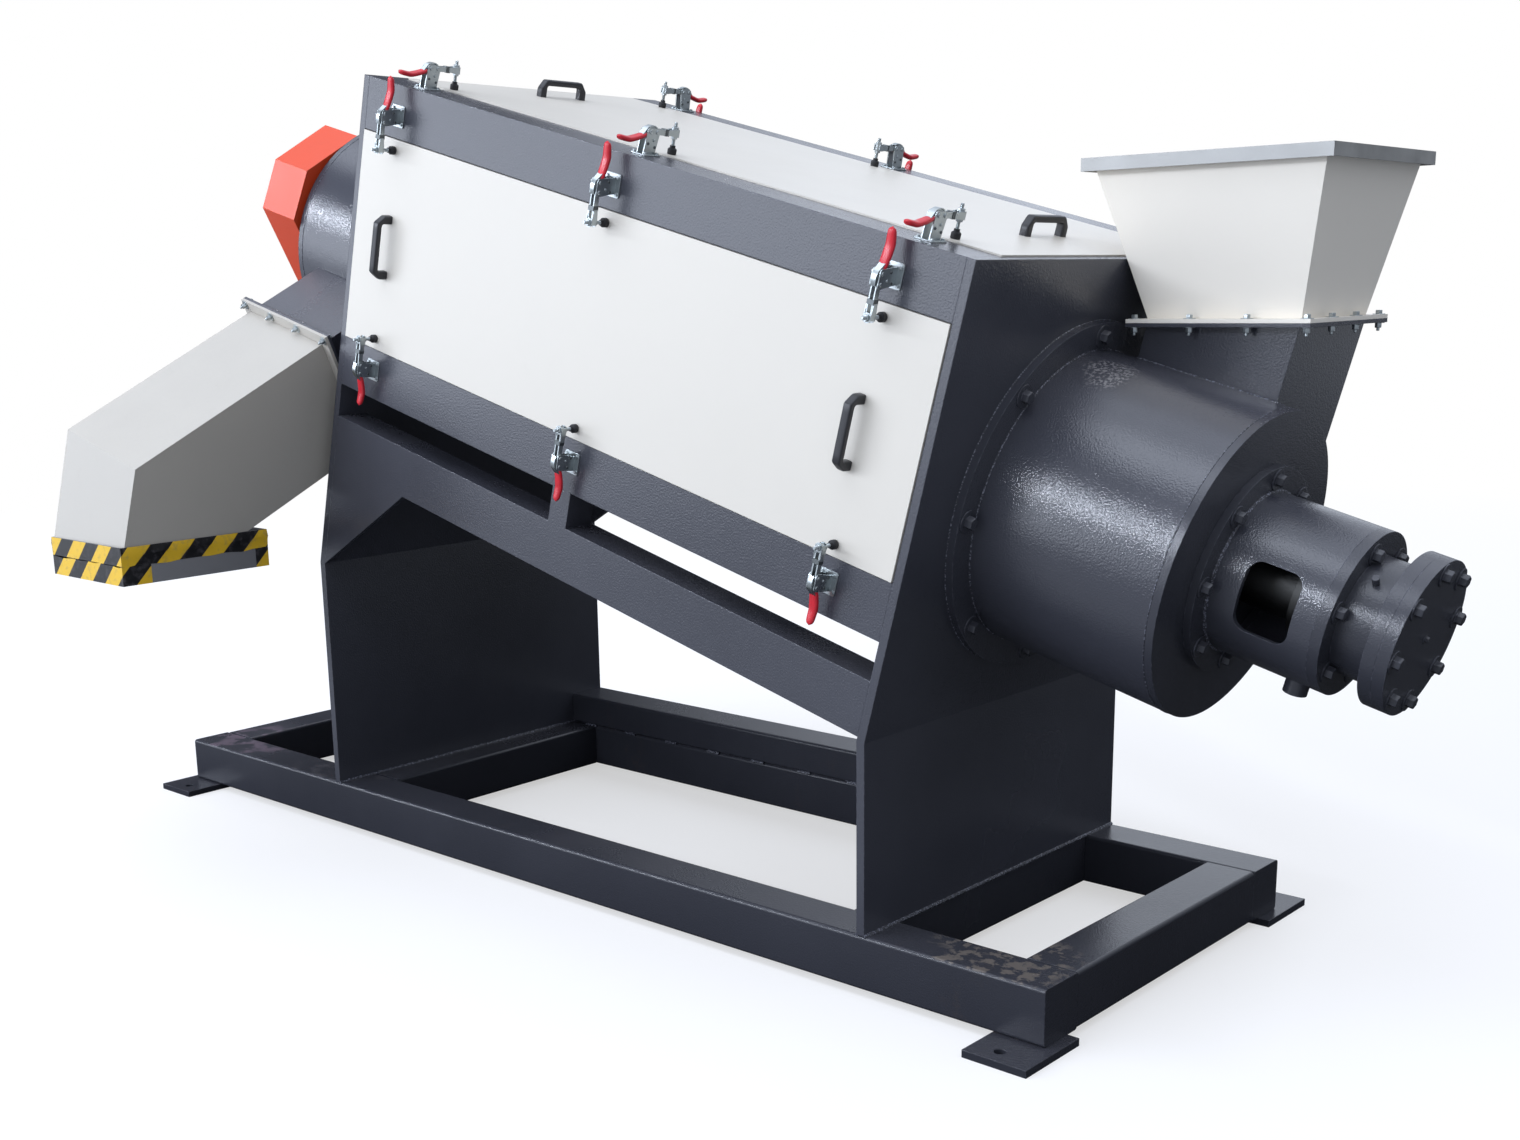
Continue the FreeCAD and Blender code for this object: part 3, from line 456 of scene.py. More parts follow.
def group_cloud():
    """Slow change of tone over a large face."""
    g = Group("Cloud", "Mask", Scale=1.4)
    return g.give(g.ramp(g.noise(g.coords(), g.given["Scale"], 4.0, 0.6), 0.30, 0.70))


def group_brushed():
    """Fine lines along the long way of a metal surface."""
    g = Group("Brushed", "Height", Scale=40.0)
    return g.give(g.noise(g.coords(), g.given["Scale"], 3.0, 0.7, (0.12, 1.0, 6.0)))


def group_patch():
    """Mask of a scuffed or stained patch round a point, broken up by a grain; on the drum it
    carries painted sparkle.
    """
    g = Group("Patch", "Mask", X=0.0, Y=0.0, Z=0.0, Radius=0.06, Grain=120.0, Strength=1.0)
    coords, radius = g.coords(), g.given["Radius"]
    centre = g.add("ShaderNodeCombineXYZ")
    g.fill(centre, **{axis: g.given[axis] for axis in "XYZ"})
    far = g.vector("DISTANCE", coords, centre.outputs["Vector"])
    ragged = g.product(g.math("SUBTRACT", g.noise(coords, 14.0, 3.0), 0.5), radius)
    reach = g.math("SUBTRACT", g.math("ADD", far, ragged), radius)
    inside = g.ramp(g.math("DIVIDE", reach, radius), 0.0, -0.35)
    grain = g.ramp(g.noise(coords, g.given["Grain"], 4.0, 0.6), 0.50, 0.58)
    top = g.product(g.facing_up(0.4, 0.8), g.given["Strength"])
    return g.give(g.product(inside, grain, top))


GROUPS = {}


def build_groups():
    """Make the node groups once."""
    for maker in (group_orange_peel, group_soft_edge, group_edge_rub_and_highlight, group_dust, group_stains,
                  group_cloud, group_brushed, group_patch):
        tree = maker()
        GROUPS[tree.name] = tree


# Materials


class Finish(Graph):
    """A material under construction: one Principled shader and helpers round it."""

    def __init__(self, name):
        self.material = bpy.data.materials.new(name)
        self.material.use_nodes = True
        super().__init__(self.material.node_tree)
        self.tree.nodes.clear()
        self.shader = self.add("ShaderNodeBsdfPrincipled")
        out = self.add("ShaderNodeOutputMaterial")
        self.link(self.shader.outputs["BSDF"], out.inputs["Surface"])

    def use(self, name, **values):
        """Place a node group with its own values."""
        group = self.add("ShaderNodeGroup", node_tree=GROUPS[name])
        return self.fill(group, **values).outputs[0]

    def set(self, **values):
        """Set or link inputs of the shader."""
        self.fill(self.shader, **values)

    def surface(self, height, strength, distance, edge=0.0015):
        """Bump over softly rounded edges."""
        bump = self.fill(self.add("ShaderNodeBump"), Strength=strength, Distance=distance,
                         Height=height, Normal=self.use("Soft edge", Radius=edge))
        self.set(Normal=bump.outputs["Normal"])


def shade(rgb, factor):
    """Lighter or darker version of a colour."""
    return tuple(min(1.0, c * factor) for c in rgb)


def enamel(name, rgb, rough, peel=260.0, peel_strength=0.10, dust=0.3, stains=0.2, rub_and_highlight=0.3,
           edge=0.0015, tone=0.10, specular=0.5, patches=()):
    """Sprayed enamel with settled dust, dried marks, and rubbed edges whose lighter colour is
    partly painted edge highlight.
    """
    p = settings("paints")
    f = Finish(name)
    cloud = f.use("Cloud", Scale=1.6)
    base = f.mix(cloud, shade(rgb, 1 - tone), shade(rgb, 1 + tone))
    base = f.mix(f.use("Stains", Amount=stains, Scale=9.0, Threshold=0.60), base, p.stain)
    dusty = f.use("Dust", Amount=dust, Scale=3.0)
    base = f.mix(dusty, base, p.dust)
    # Edges lightened to 3.2 times the paint's colour: partly rubbed paint, partly painted
    # highlight.
    rubbed_or_lit_edge = f.use("Edge wear", Radius=0.003, Amount=rub_and_highlight, Scale=70.0)
    base = f.mix(rubbed_or_lit_edge, base, shade(rgb, 3.2))
    # Single marks round a point: stains and dust on the base, painted sparkle on the drum.
    for (x, y, z), radius, grain, strength, tint in patches:
        mask = f.use("Patch", X=x, Y=y, Z=z, Radius=radius, Grain=grain, Strength=strength)
        base = f.mix(mask, base, tint)
    roughness = f.math("ADD", f.ramp(cloud, 0.0, 1.0, rough - 0.04, rough + 0.06),
                       f.product(dusty, 0.45))
    f.set(Base_Color=base, Roughness=roughness, Specular_IOR_Level=specular)
    f.surface(f.use("Orange peel", Scale=peel, Waviness=0.35), peel_strength, 0.0012, edge)
    return f.material


def metal(name, rgb, rough, brushed=40.0, edge=0.0008, tone=0.12, stains=0.15):
    """Bare or plated metal with fine lines and dull patches."""
    p = settings("paints")
    f = Finish(name)
    cloud = f.use("Cloud", Scale=14.0)
    base = f.mix(cloud, shade(rgb, 1 - tone), shade(rgb, 1 + tone))
    marks = f.use("Stains", Amount=stains, Scale=30.0, Threshold=0.58)
    f.set(Base_Color=f.mix(marks, base, p.stain), Metallic=1.0,
          Roughness=f.ramp(cloud, 0.0, 1.0, rough - 0.08, rough + 0.10))
    f.surface(f.use("Brushed", Scale=brushed), 0.12, 0.0004, edge)
    return f.material


def moulded(name, rgb, rough, grain=900.0, edge=0.0012):
    """Moulded plastic or rubber with a fine grain."""
    f = Finish(name)
    cloud = f.use("Cloud", Scale=20.0)
    base = f.mix(cloud, shade(rgb, 0.85), shade(rgb, 1.2))
    # Edges lightened to 2.6 times the colour: partly rubbed, partly painted highlight.
    rubbed_or_lit_edge = f.use("Edge wear", Radius=0.002, Amount=0.25, Scale=90.0)
    f.set(Base_Color=f.mix(rubbed_or_lit_edge, base, shade(rgb, 2.6)),
          Roughness=f.ramp(cloud, 0.0, 1.0, rough - 0.05, rough + 0.08))
    f.surface(f.use("Orange peel", Scale=grain, Waviness=0.1), 0.15, 0.0004, edge)
    return f.material


def weld_paint():
    """Paint on a rough bead, with painted shade and painted highlights: spots in a much lighter
    colour stand in for sparkle on the ripples, and the rest is darker than the casing paint.
    """
    p = settings("paints")
    f = Finish("Painted weld")
    # Painted highlight: spots at four times the casing paint's colour; elsewhere four fifths of it,
    # as painted shade.
    painted_sparkle = f.ramp(f.noise(f.coords(), 260.0, 3.0), 0.50, 0.62)
    f.set(Base_Color=f.mix(painted_sparkle, shade(p.casing, 0.8), shade(p.casing, 4.0)),
          Roughness=0.18, Specular_IOR_Level=0.9)
    f.surface(f.use("Orange peel", Scale=400.0, Waviness=0.3), 0.6, 0.0012, 0.0008)
    return f.material


def hazard_tape():
    """Slanted light and dark stripes along the tape's own length."""
    p = settings("paints")
    f = Finish("Hazard tape")
    place = f.split(f.add("ShaderNodeUVMap", uv_map="tape").outputs["UV"])
    slant = f.math("SUBTRACT", place["X"], place["Y"])
    edge = f.ramp(f.math("FRACT", f.math("DIVIDE", slant, TAPE_PITCH)), 0.49, 0.51)
    coords = f.coords()
    scuff = f.ramp(f.noise(coords, 60.0, 4.0), 0.52, 0.72, 0.0, 0.35)
    f.set(Base_Color=f.mix(scuff, f.mix(edge, p.tape_light, p.tape_dark), p.dust),
          Roughness=f.ramp(scuff, 0.0, 0.35, 0.32, 0.6))
    f.surface(f.noise(coords, 30.0, 2.0), 0.12, 0.002, 0.0005)
    return f.material


MATERIALS = {}


def build_materials():
    """One material for each finish."""
    p = settings("paints")
    made = {
        "casing": enamel("Casing enamel", p.casing, 0.22, dust=0.25, stains=0.0, rub_and_highlight=0.6,
                         peel=230.0, peel_strength=0.45, specular=0.7, edge=0.003),
        "base": enamel("Base enamel", shade(p.casing, 0.68), 0.22, dust=0.12, stains=0.25, rub_and_highlight=0.9,
                       peel_strength=0.40, specular=0.42, edge=0.003, patches=BASE_PATCHES),
        "drum": enamel("Drum enamel", p.casing, 0.13, dust=0.15, stains=0.0, rub_and_highlight=0.6,
                       peel_strength=0.60, peel=280.0, specular=0.75, patches=DRUM_PAINTED_SPARKLE),
        "bearing": enamel("Bearing enamel", shade(p.casing, 0.85), 0.20, dust=0.2, stains=0.15,
                          rub_and_highlight=0.7, peel_strength=0.5, peel=300.0, specular=0.6, edge=0.002),
        # The chute's enamel is the panel paint made darker: painted shade.
        "chute": enamel("Chute enamel", shade(p.panel, 0.73), 0.40, dust=0.10, stains=0.06,
                        rub_and_highlight=0.0, tone=0.03, peel_strength=0.06, specular=0.4),
        # The hopper's enamel is the panel paint made lighter: painted light.
        "hopper": enamel("Hopper enamel", shade(p.panel, 1.28), 0.40, dust=0.03, stains=0.03,
                         rub_and_highlight=0.0, tone=0.015, peel_strength=0.06, specular=0.4),
        "panel": enamel("Panel enamel", p.panel, 0.36, dust=0.06, stains=0.03, rub_and_highlight=0.0,
                        tone=0.015, peel_strength=0.06, specular=0.4),
        "guard": enamel("Guard enamel", p.guard, 0.34, dust=0.08, stains=0.08, rub_and_highlight=0.2,
                        tone=0.05, peel_strength=0.08, specular=0.35),
        "motor": enamel("Motor enamel", p.motor, 0.38, dust=0.5, stains=0.3, rub_and_highlight=0.4),
        "collar": enamel("Collar enamel", p.collar, 0.45, dust=0.3, stains=0.3, rub_and_highlight=0.2),
        # The shaft's steel is darkened to a sixth, as painted shade inside the lantern.
        "shaft": metal("Oiled shaft", shade(p.steel, 0.16), 0.50, brushed=30.0, stains=0.3),
        "rim": metal("Folded rim", shade(p.steel, 0.9), 0.66, brushed=30.0, stains=0.2),
        "weld": weld_paint(),
        "zinc": metal("Zinc plate", p.zinc, 0.34, brushed=60.0),
        # Zinc darkened to three tenths, on the arm's collar and the lower rivets of the clamps.
        "dark_zinc": metal("Dulled zinc", shade(p.zinc, 0.3), 0.40, brushed=60.0),
        "steel": metal("Bare steel", p.steel, 0.38, brushed=30.0, stains=0.3),
        "screen": metal("Stainless screen", p.steel, 0.32, brushed=25.0, stains=0.1),
        "plastic": moulded("Handle plastic", p.plastic, 0.42),
        "rubber": moulded("Rubber", p.rubber, 0.62),
        "grip": moulded("Grip vinyl", p.grip, 0.30, grain=300.0),
        "tape": hazard_tape(),
    }
    MATERIALS.update(made)


# Nodes of each finish; a name that ends in _ stands for all that start with it
NODE_FINISH = {
    "base": ("base_rail_", "cross_rail_", "foot_plates", "rear_upper_beam", "motor_stand"),
    "drum": ("feed_drum", "discharge_drum", "lantern_tube", "feed_ring_flange", "discharge_disc"),
    "bearing": ("bearing_", "end_cover", "drive_bearing", "feed_drum_disc"),
    "panel": ("door_front", "door_rear", "top_cover"),
    "hopper": ("hopper", "hopper_flange"),
    "chute": ("chute_flange", "discharge_chute"),
    "guard": ("belt_guard",),
    "motor": ("motor",),
    "collar": ("mouth_collar",),
    "steel": ("feed_screw", "throw_paddles"),
    "shaft": ("rotor_shaft", "shaft_collar"),
    "rim": ("hopper_rim",),
    "screen": ("screen_drum",),
}


def finish_of(node):
    """Finish of a node; casing paint where none is named."""
    for finish, names in NODE_FINISH.items():
        if any(node == name or name.endswith("_") and node.startswith(name) for name in names):
            return finish
    return "casing"


# Mesh helpers


class Builder:
    """Collects shapes of several finishes in one mesh."""

    def __init__(self, *finishes):
        self.bm = bmesh.new()
        self.finishes = finishes
        self.index = 0

    def finish(self, name):
        """Finish of the shapes that follow."""
        self.index = self.finishes.index(name)

    def face(self, verts):
        f = self.bm.faces.new(verts)
        f.material_index = self.index
        f.smooth = True
        return f

    def ring(self, points):
        return [self.bm.verts.new(p) for p in points]

    def bridge(self, a, b):
        """Quads between two closed rings, or a fan where one of them is a point."""
        for i in range(max(len(a), len(b))):
            k = i + 1
            quad = [a[i % len(a)], a[k % len(a)], b[k % len(b)], b[i % len(b)]]
            if len(a) == 1:
                quad = [a[0], b[k % len(b)], b[i]]
            elif len(b) == 1:
                quad.pop()
            self.face(quad)

    def chain(self, rings):
        """Bridge each ring with the next."""
        for a, b in zip(rings, rings[1:]):
            self.bridge(a, b)

    def loft(self, rings):
        """Closed skin over rings of points."""
        made = [self.ring(r) for r in rings]
        self.chain(made)
        self.face(list(reversed(made[0])))
        self.face(made[-1])

    def lathe(self, m, profile, steps=24):
        """Turned form: profile of (radius, height) along the local z of m."""
        self.chain([self.ring([m @ Vector((x, y, z)) for x, y in polygon(r, steps)] if r else
                              [m @ Vector((0, 0, z))]) for r, z in profile])

    def prism(self, m, outline, z0, z1, bevel=0.0):
        """Plate with its outline in the local x, y plane of m, with rounded rims."""
        levels = [(outline, z0), (outline, z1)]
        if bevel:
            inner = []
            for p in outline:
                v = Vector(p)
                inner.append(v * max(0.0, 1 - bevel / v.length))
            levels = [(inner, z0), (outline, z0 + bevel), (outline, z1 - bevel), (inner, z1)]
        self.loft([[m @ Vector((x, y, z)) for x, y in pts] for pts, z in levels])

    def tube(self, points, radius, steps):
        """Round bar along points; radius gives its size at each of them."""
        rings = []
        side = (points[1] - points[0]).normalized().orthogonal().normalized()
        for i, p in enumerate(points):
            way = (points[min(i + 1, len(points) - 1)] - points[max(i - 1, 0)]).normalized()
            side = (side - way * side.dot(way)).normalized()
            up = way.cross(side)
            rings.append([p + side * x + up * y for x, y in polygon(radius(i), steps)])
        self.loft(rings)

    def build(self, name, body, replaced=()):
        """Turn the shapes into one piece that rides on a body."""
        mesh = bpy.data.meshes.new(name)
        bmesh.ops.recalc_face_normals(self.bm, faces=self.bm.faces)
        self.bm.to_mesh(mesh)
        self.bm.free()
        mesh.set_sharp_from_angle(angle=SHARP_ANGLE)
        obj = add_object(name, mesh)
        for finish in self.finishes:
            mesh.materials.append(MATERIALS[finish])
        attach(obj, body)
        if replaced:
            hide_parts(*replaced)


def polygon(radius, count=6, turn=0.0):
    """Corners of a regular polygon."""
    return [(radius * math.cos(turn + TURN * i / count), radius * math.sin(turn + TURN * i / count))
            for i in range(count)]


def hexagon_head(b, m, across, height, turn=0.0):
    """Hexagon head or nut with a chamfered top, standing on the local z of m."""
    r = across / math.sqrt(3)
    low, top = polygon(r, 6, turn), polygon(r * 0.90, 6, turn)
    b.loft([[m @ Vector((x, y, z)) for x, y in pts]
            for pts, z in ((low, 0.0), (low, height * 0.86), (top, height))])


def bolt(b, m, across, head, stub=0.0, turn=0.0):
    """Hexagon bolt on its washer; a stub shows the thread end above a nut."""
    r, t = across * 1.02, across * 0.11
    b.lathe(m, [(0, 0), (r, 0), (r, t * 0.7), (r - t * 0.3, t), (0, t)], 20)
    hexagon_head(b, m @ Matrix.Translation((0, 0, t)), across, across * head, turn)
    if stub:
        s = across * 0.27
        top = t + across * head + stub
        b.lathe(m, [(s, t), (s, top - s * 0.3), (s * 0.7, top), (0, top)], 10)


def circle_places(u, radius, count, start):
    """Matrices on a bolt circle about the rotor axis; start is the angle from n towards +y."""
    places = []
    for i in range(count):
        a = math.radians(start) + TURN * i / count
        places.append(axes(at(u, radius * math.sin(a), radius * math.cos(a)), ALONG, UP_N))
    return places


# Operators


class WASHER_OT_paint(bpy.types.Operator):
    """Give every piece of the frame its finish."""

    bl_idname = "washer.paint"
    bl_label = "Paint the frame"

    def execute(self, context):
        build_groups()
        build_materials()
        for name, node in frame["nodes"].items():
            material = MATERIALS[finish_of(name)]
            if not node.material_slots:
                node.data.materials.append(material)
            for slot in node.material_slots:
                slot.material = material
        return {"FINISHED"}


class WASHER_OT_bolts(bpy.types.Operator):
    """Add the hexagon bolts of flanges, rings and cover."""

    bl_idname = "washer.bolts"
    bl_label = "Bolts"

    def execute(self, context):
        s = settings("bolts")
        b = Builder("bearing")
        (_, ring_u), (_, ring_r), _ = span("feed_ring_flange")
        (_, bearing_u), (_, bearing_r), _ = span("bearing_ring")
        (_, cover_u), (_, cover_r), _ = span("end_cover")
        (_, rim_u), (_, lantern_r), _ = span("lantern_tube")
        drum_r = span("feed_drum_disc")[1][1]
        # Height along the axis, circle radius, count, angle of the first, size
        circles = ((ring_u, (ring_r + drum_r) / 2, 8, -2, s.ring),
                   (bearing_u, (bearing_r + lantern_r) / 2, 8, -2, s.bearing),
                   (rim_u + RIM_T, RIM_BOLT_R, 6, -19, s.rim),
                   (cover_u, cover_r * COVER_BOLTS, 8, -10, s.cover), (cover_u, 0, 1, 0, s.screw))
        for u, radius, count, start, across in circles:
            for m in circle_places(u, radius, count, start):
                bolt(b, m, across, s.head)
        b.build("feed_end_bolts", "machine")

        b = Builder("zinc")
        lo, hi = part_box("hopper_flange")
        for y in (lo.y + FLANGE_INSET, hi.y - FLANGE_INSET):
            for x in spread(lo.x, hi.x, 4):
                self.through(b, Vector((x, y, hi.z)), UP, s.sheet)
        for x in (lo.x + FLANGE_INSET, hi.x - FLANGE_INSET):
            for y in spread(lo.y, hi.y, 4)[1:-1]:
                self.through(b, Vector((x, y, hi.z)), UP, s.sheet)
        self.chute_flange(b, s.sheet)
        b.build("sheet_flange_bolts", "machine")
        return {"FINISHED"}

    def through(self, b, point, way, across):
        """Bolt through two flanges: head on top, washer and nut with thread end below."""
        bolt(b, axes(point, way, ALONG), across, 0.6)
        bolt(b, axes(point - way * FLANGE_GRIP, -way, ALONG), across, 0.8, stub=0.006, turn=0.3)

    def chute_flange(self, b, across):
        """Bolts round the flange of the discharge chute."""
        top, bottom, (u0, u1) = slope_frame()
        down = slope_way()
        way = -(ACROSS * down.y + UP_N * down.z)
        square = (bottom - top).normalized()
        inset = square * FLANGE_INSET
        places = [(u, p) for u in spread(u0, u1, 4) for p in (top + inset, bottom - inset)]
        places += [(u0 + FLANGE_INSET, top + square * d)
                   for d in spread(0, (bottom - top).length, 5)[1:-1]]
        for u, p in places:
            self.through(b, at(u, p.y, p.z), way, across)


def spread(low, high, count):
    """Even places between two edges, an inset away from them."""
    room = high - low - 2 * FLANGE_INSET
    return [low + FLANGE_INSET + room * i / (count - 1) for i in range(count)]


def slope_frame():
    """Upper and lower outer corner (y, n) of the box side of the chute flanges, and u range."""
    points = [Vector((0, *unplace(p)[1:])) for p in corners("discharge_box_flange")]
    top = max(points, key=lambda p: (round(p.z, 5), p.y))
    bottom = min(points, key=lambda p: (round(p.z, 5), -p.y))
    return top, bottom, span("discharge_box_flange")[0]


def slope_way():
    """Down the discharge chute, square to its flanges, in the y, n plane."""
    top, bottom, _ = slope_frame()
    square = (bottom - top).normalized()
    return Vector((0, -abs(square.z), -abs(square.y)))


def rounded_rect(length, width, radius, steps=4):
    """Outline of a rectangle with rounded corners, centred on 0."""
    points = []
    for cx, cy, start in ((1, 1, 0), (-1, 1, 90), (-1, -1, 180), (1, -1, 270)):
        for k in range(steps + 1):
            a = math.radians(start + 90 * k / steps)
            points.append((cx * (length / 2 - radius) + radius * math.cos(a),
                           cy * (width / 2 - radius) + radius * math.sin(a)))
    return points


def arc(cx, cy, radius, start, end, steps=6):
    """Points of an arc between two angles in degrees."""
    return [(cx + radius * math.cos(math.radians(start + (end - start) * k / steps)),
             cy + radius * math.sin(math.radians(start + (end - start) * k / steps)))
            for k in range(steps + 1)]


def side_plate(b, m, outline, y0, y1):
    """Plate with its outline in the local x, z plane of m, between two local y."""
    turned = m @ Matrix(((1, 0, 0, 0), (0, 0, -1, 0), (0, 1, 0, 0), (0, 0, 0, 1)))
    b.prism(turned, outline, *sorted((-y0, -y1)))


def dome(b, m, radius, height):
    """Rounded head on the local z of m."""
    b.lathe(m, [(radius, 0), (radius, height * 0.35), (radius * 0.8, height * 0.8),
                (radius * 0.4, height), (0, height)], 12)


def rows_along(node):
    """Vertices of a node, in rows that lie apart along the rotor axis."""
    points = sorted(corners(node), key=lambda p: p.dot(ALONG))
    rows = [[points[0]]]
    for p in points[1:]:
        if (p - rows[-1][-1]).dot(ALONG) > ROW_GAP:
            rows.append([])
        rows[-1].append(p)
    return rows


def row_middle(row):
    """Middle of a row along the rotor axis, as a vector."""
    return ALONG * ((row[0].dot(ALONG) + row[-1].dot(ALONG)) / 2)


def piece_places(node, out, reach_back, inward, split=None):
    """Foot matrices of the clamps in a node, read from the extent of each solid.

    reach_back is the distance from the end of the grip to the foot; inward gives the arm's
    direction for a point of the solid."""
    places = []
    for row in rows_along(node):
        parts = [row]
        if split:
            parts = [[p for p in row if split(p) > 0], [p for p in row if split(p) <= 0]]
        for part in parts:
            arm = inward(part[0])
            back = min(p.dot(arm) for p in part) + reach_back
            point = arm * back + out * min(p.dot(out) for p in part) + row_middle(row)
            places.append(axes(point, out, arm))
    return places


class WASHER_OT_clamps(bpy.types.Operator):
    """Build the closed toggle clamps over the plain solids of the frame."""

    bl_idname = "washer.clamps"
    bl_label = "Toggle clamps"

    def execute(self, context):
        s = Millimetres(settings("clamps"))
        back = (s.grip_length + GRIP_FROM) * MM
        _, _, (n0, n1) = span("door_front")
        middle = (n0 + n1) / 2

        def over(p):
            return unplace(p)[2] - middle

        for side, out in (("front", -ACROSS), ("rear", ACROSS)):
            node = "clamps_door_" + side
            places = piece_places(node, out, back, lambda p: UP_N * (-1 if over(p) > 0 else 1),
                                  split=over)
            self.row(node, places, s)
            node = "clamps_cover_" + side
            places = piece_places(node, UP_N, back, lambda p: -out)
            self.row(node, places, s)
        return {"FINISHED"}

    def row(self, node, places, s):
        """All clamps of a node, each drawn in millimetres from its foot."""
        b = Builder("zinc", "grip", "rubber", "dark_zinc")
        for place in places:
            m = place @ Matrix.Scale(MM, 4)
            for part in (self.foot, self.arm, self.spindle, self.lever, self.grip):
                b.finish("zinc")
                part(b, m, s)
        b.build("toggle_" + node, "machine", replaced=(node,))

    def foot(self, b, m, s):
        """Foot plate with its screws and the two side plates with rivets."""
        b.prism(m, rounded_rect(s.foot_length, s.foot_width, 4), 0, s.plate, 0.4)
        for x in (-1, 1):
            for y in (-1, 1):
                spot = m @ Matrix.Translation((x * (s.foot_length / 2 - 8),
                                               y * (s.foot_width / 2 - 6), s.plate))
                b.lathe(spot, [(5.2, 0), (5.2, 1), (0, 1)], 14)
                hexagon_head(b, spot @ Matrix.Translation((0, 0, 1)), 7, 3, x + y * 0.7)
        h = s.height
        outline = [(-17, s.plate), (17, s.plate)]
        outline += arc(17, h, 8, -20, 100) + arc(-5, h, 8, 80, 190)
        for y in (-1, 1):
            outer = y * (SIDE_GAP / 2 + s.plate)
            side_plate(b, m, outline, y * SIDE_GAP / 2, outer)
            for x, z, radius in ((16, 0, 4.4), (-4, 0, 4.4), (9, -17, 3), (-7, -24, 3),
                                 (14, -31, 3)):
                head = m @ Matrix.Translation((x, outer, h + z))
                b.finish("dark_zinc" if z < -20 else "zinc")
                dome(b, head @ Matrix.Rotation(-y * math.pi / 2, 4, "X"), radius, 2.4)
            b.finish("zinc")

    def arm(self, b, m, s):
        """U-shaped bar from the pivot round the spindle, with a collar and two cheeks."""
        low, high = s.height - ARM_H / 2, s.height + ARM_H / 2
        r_out, r_in = ARM_W / 2, ARM_W / 2 - s.plate
        x0, x1 = 14, s.reach
        outer, inner = ([(x0, -r)] + arc(x1, 0, r, -90, 90, 10) + [(x0, r)] for r in (r_out, r_in))
        b.loft([[m @ Vector(v) for v in ((ox, oy, low), (ox, oy, high), (ix, iy, high),
                                         (ix, iy, low))]
                for (ox, oy), (ix, iy) in zip(outer, inner)])
        b.finish("dark_zinc")
        x, w, t = 50, r_out + 1.2, 1.2
        b.loft([[m @ Vector((px, y, z)) for y, z in ((-w, low - t), (w, low - t), (w, high + t),
                                                     (-w, high + t))]
                for px in (x - 5, x + 5)])
        b.finish("zinc")
        wing = [(x + 2, low + 1), (x1 - 5, low - 2), (x1 + 5, low - 2), (x1 + 5, high + 2),
                (x1 - 5, high + 2), (x + 2, high - 1)]
        for y in (-1, 1):
            side_plate(b, m, wing, y * (r_out + 0.2), y * (r_out + 2.2))

    def spindle(self, b, m, s):
        """Threaded spindle with nuts, washers and rubber tip."""
        at_arm = m @ Matrix.Translation((s.reach, 0, 0))
        foot = s.panel_step
        z, top = foot + TIP_H, s.height + SPINDLE_OVER
        profile = [(0, z)]
        while z < top - THREAD:
            profile += [(s.spindle, z), (s.spindle * 0.84, z + THREAD / 2)]
            z += THREAD
        b.lathe(at_arm, profile + [(s.spindle * 0.8, top), (0, top)], 10)
        for way in (1, -1):
            plate = at_arm @ Matrix.Translation((0, 0, s.height + way * ARM_H / 2))
            if way < 0:
                plate = plate @ Matrix.Rotation(math.pi, 4, "X")
            b.lathe(plate, [(10, 0), (10, 1.6), (0, 1.6)], 20)
            hexagon_head(b, plate @ Matrix.Translation((0, 0, 1.6)), 13, 5, 0.3)
        b.finish("rubber")
        r = s.tip
        b.lathe(at_arm, [(0, foot), (r * 0.9, foot), (r, foot + 1.5), (r, foot + 11),
                         (r * 0.85, foot + 13), (r * 0.62, foot + 14),
                         (r * 0.60, foot + TIP_H + 5), (0, foot + TIP_H + 5)], 24)

    def lever(self, b, m, s):
        """Pressed lever from the pivots to the grip."""
        h = s.height
        path = ((20, 8.0), (12, 11.5), (2, 12.0), (-8, 8.5), (-14, 2.0), (-22, -6.0))
        rings = []
        for i, (x, z) in enumerate(path):
            a = path[max(0, i - 1)]
            c = path[min(len(path) - 1, i + 1)]
            way = Vector((c[0] - a[0], 0, c[1] - a[1])).normalized()
            normal = Vector((way.z, 0, -way.x))
            half = 5.5 + 0.35 * i
            rings.append([m @ (Vector((x, y, h + z)) + normal * t) for y, t in
                          ((-half, -1.2), (half, -1.2), (half, 1.2), (-half, 1.2))])
        b.loft(rings)
        cheek = arc(16, h, 7, -90, 60) + [(2, h + 11), (-10, h + 6), (-20, h - 5), (-17, h - 10),
                                          (-4, h - 6)]
        for y in (-1, 1):
            side_plate(b, m, cheek, y * 5.0, y * 6.6)

    def grip(self, b, m, s):
        """Dipped red grip: flat, oval, with a shallow S."""
        b.finish("grip")
        stations = 18
        rings = []
        for i in range(stations + 1):
            t = i / stations
            x = -GRIP_FROM - s.grip_length * t
            z = s.height - 4 - 17 * min(1, t * 1.7) ** 0.8 + 7 * t * t
            swell = 0.72 + 0.28 * math.sin(math.pi * min(1, 0.15 + t * 0.8))
            end = math.sqrt(max(0.0, 1 - max(0.0, (t - 0.86) / 0.14) ** 2))
            taper = max(end, 0.06) * min(1.0, 0.80 + t * 3)
            half_w = s.grip_width / 2 * swell * taper
            half_h = 6.0 * (0.75 + 0.25 * swell) * taper
            rings.append([m @ Vector((x, half_w * math.copysign(abs(c) ** 0.8, c),
                                      z + half_h * math.copysign(abs(d) ** 0.8, d)))
                          for c, d in polygon(1.0, stations)])
        b.loft(rings)


class Millimetres:
    """Lengths of a property group, read in millimetres."""

    def __init__(self, group):
        self.group = group

    def __getattr__(self, name):
        return getattr(self.group, name) / MM


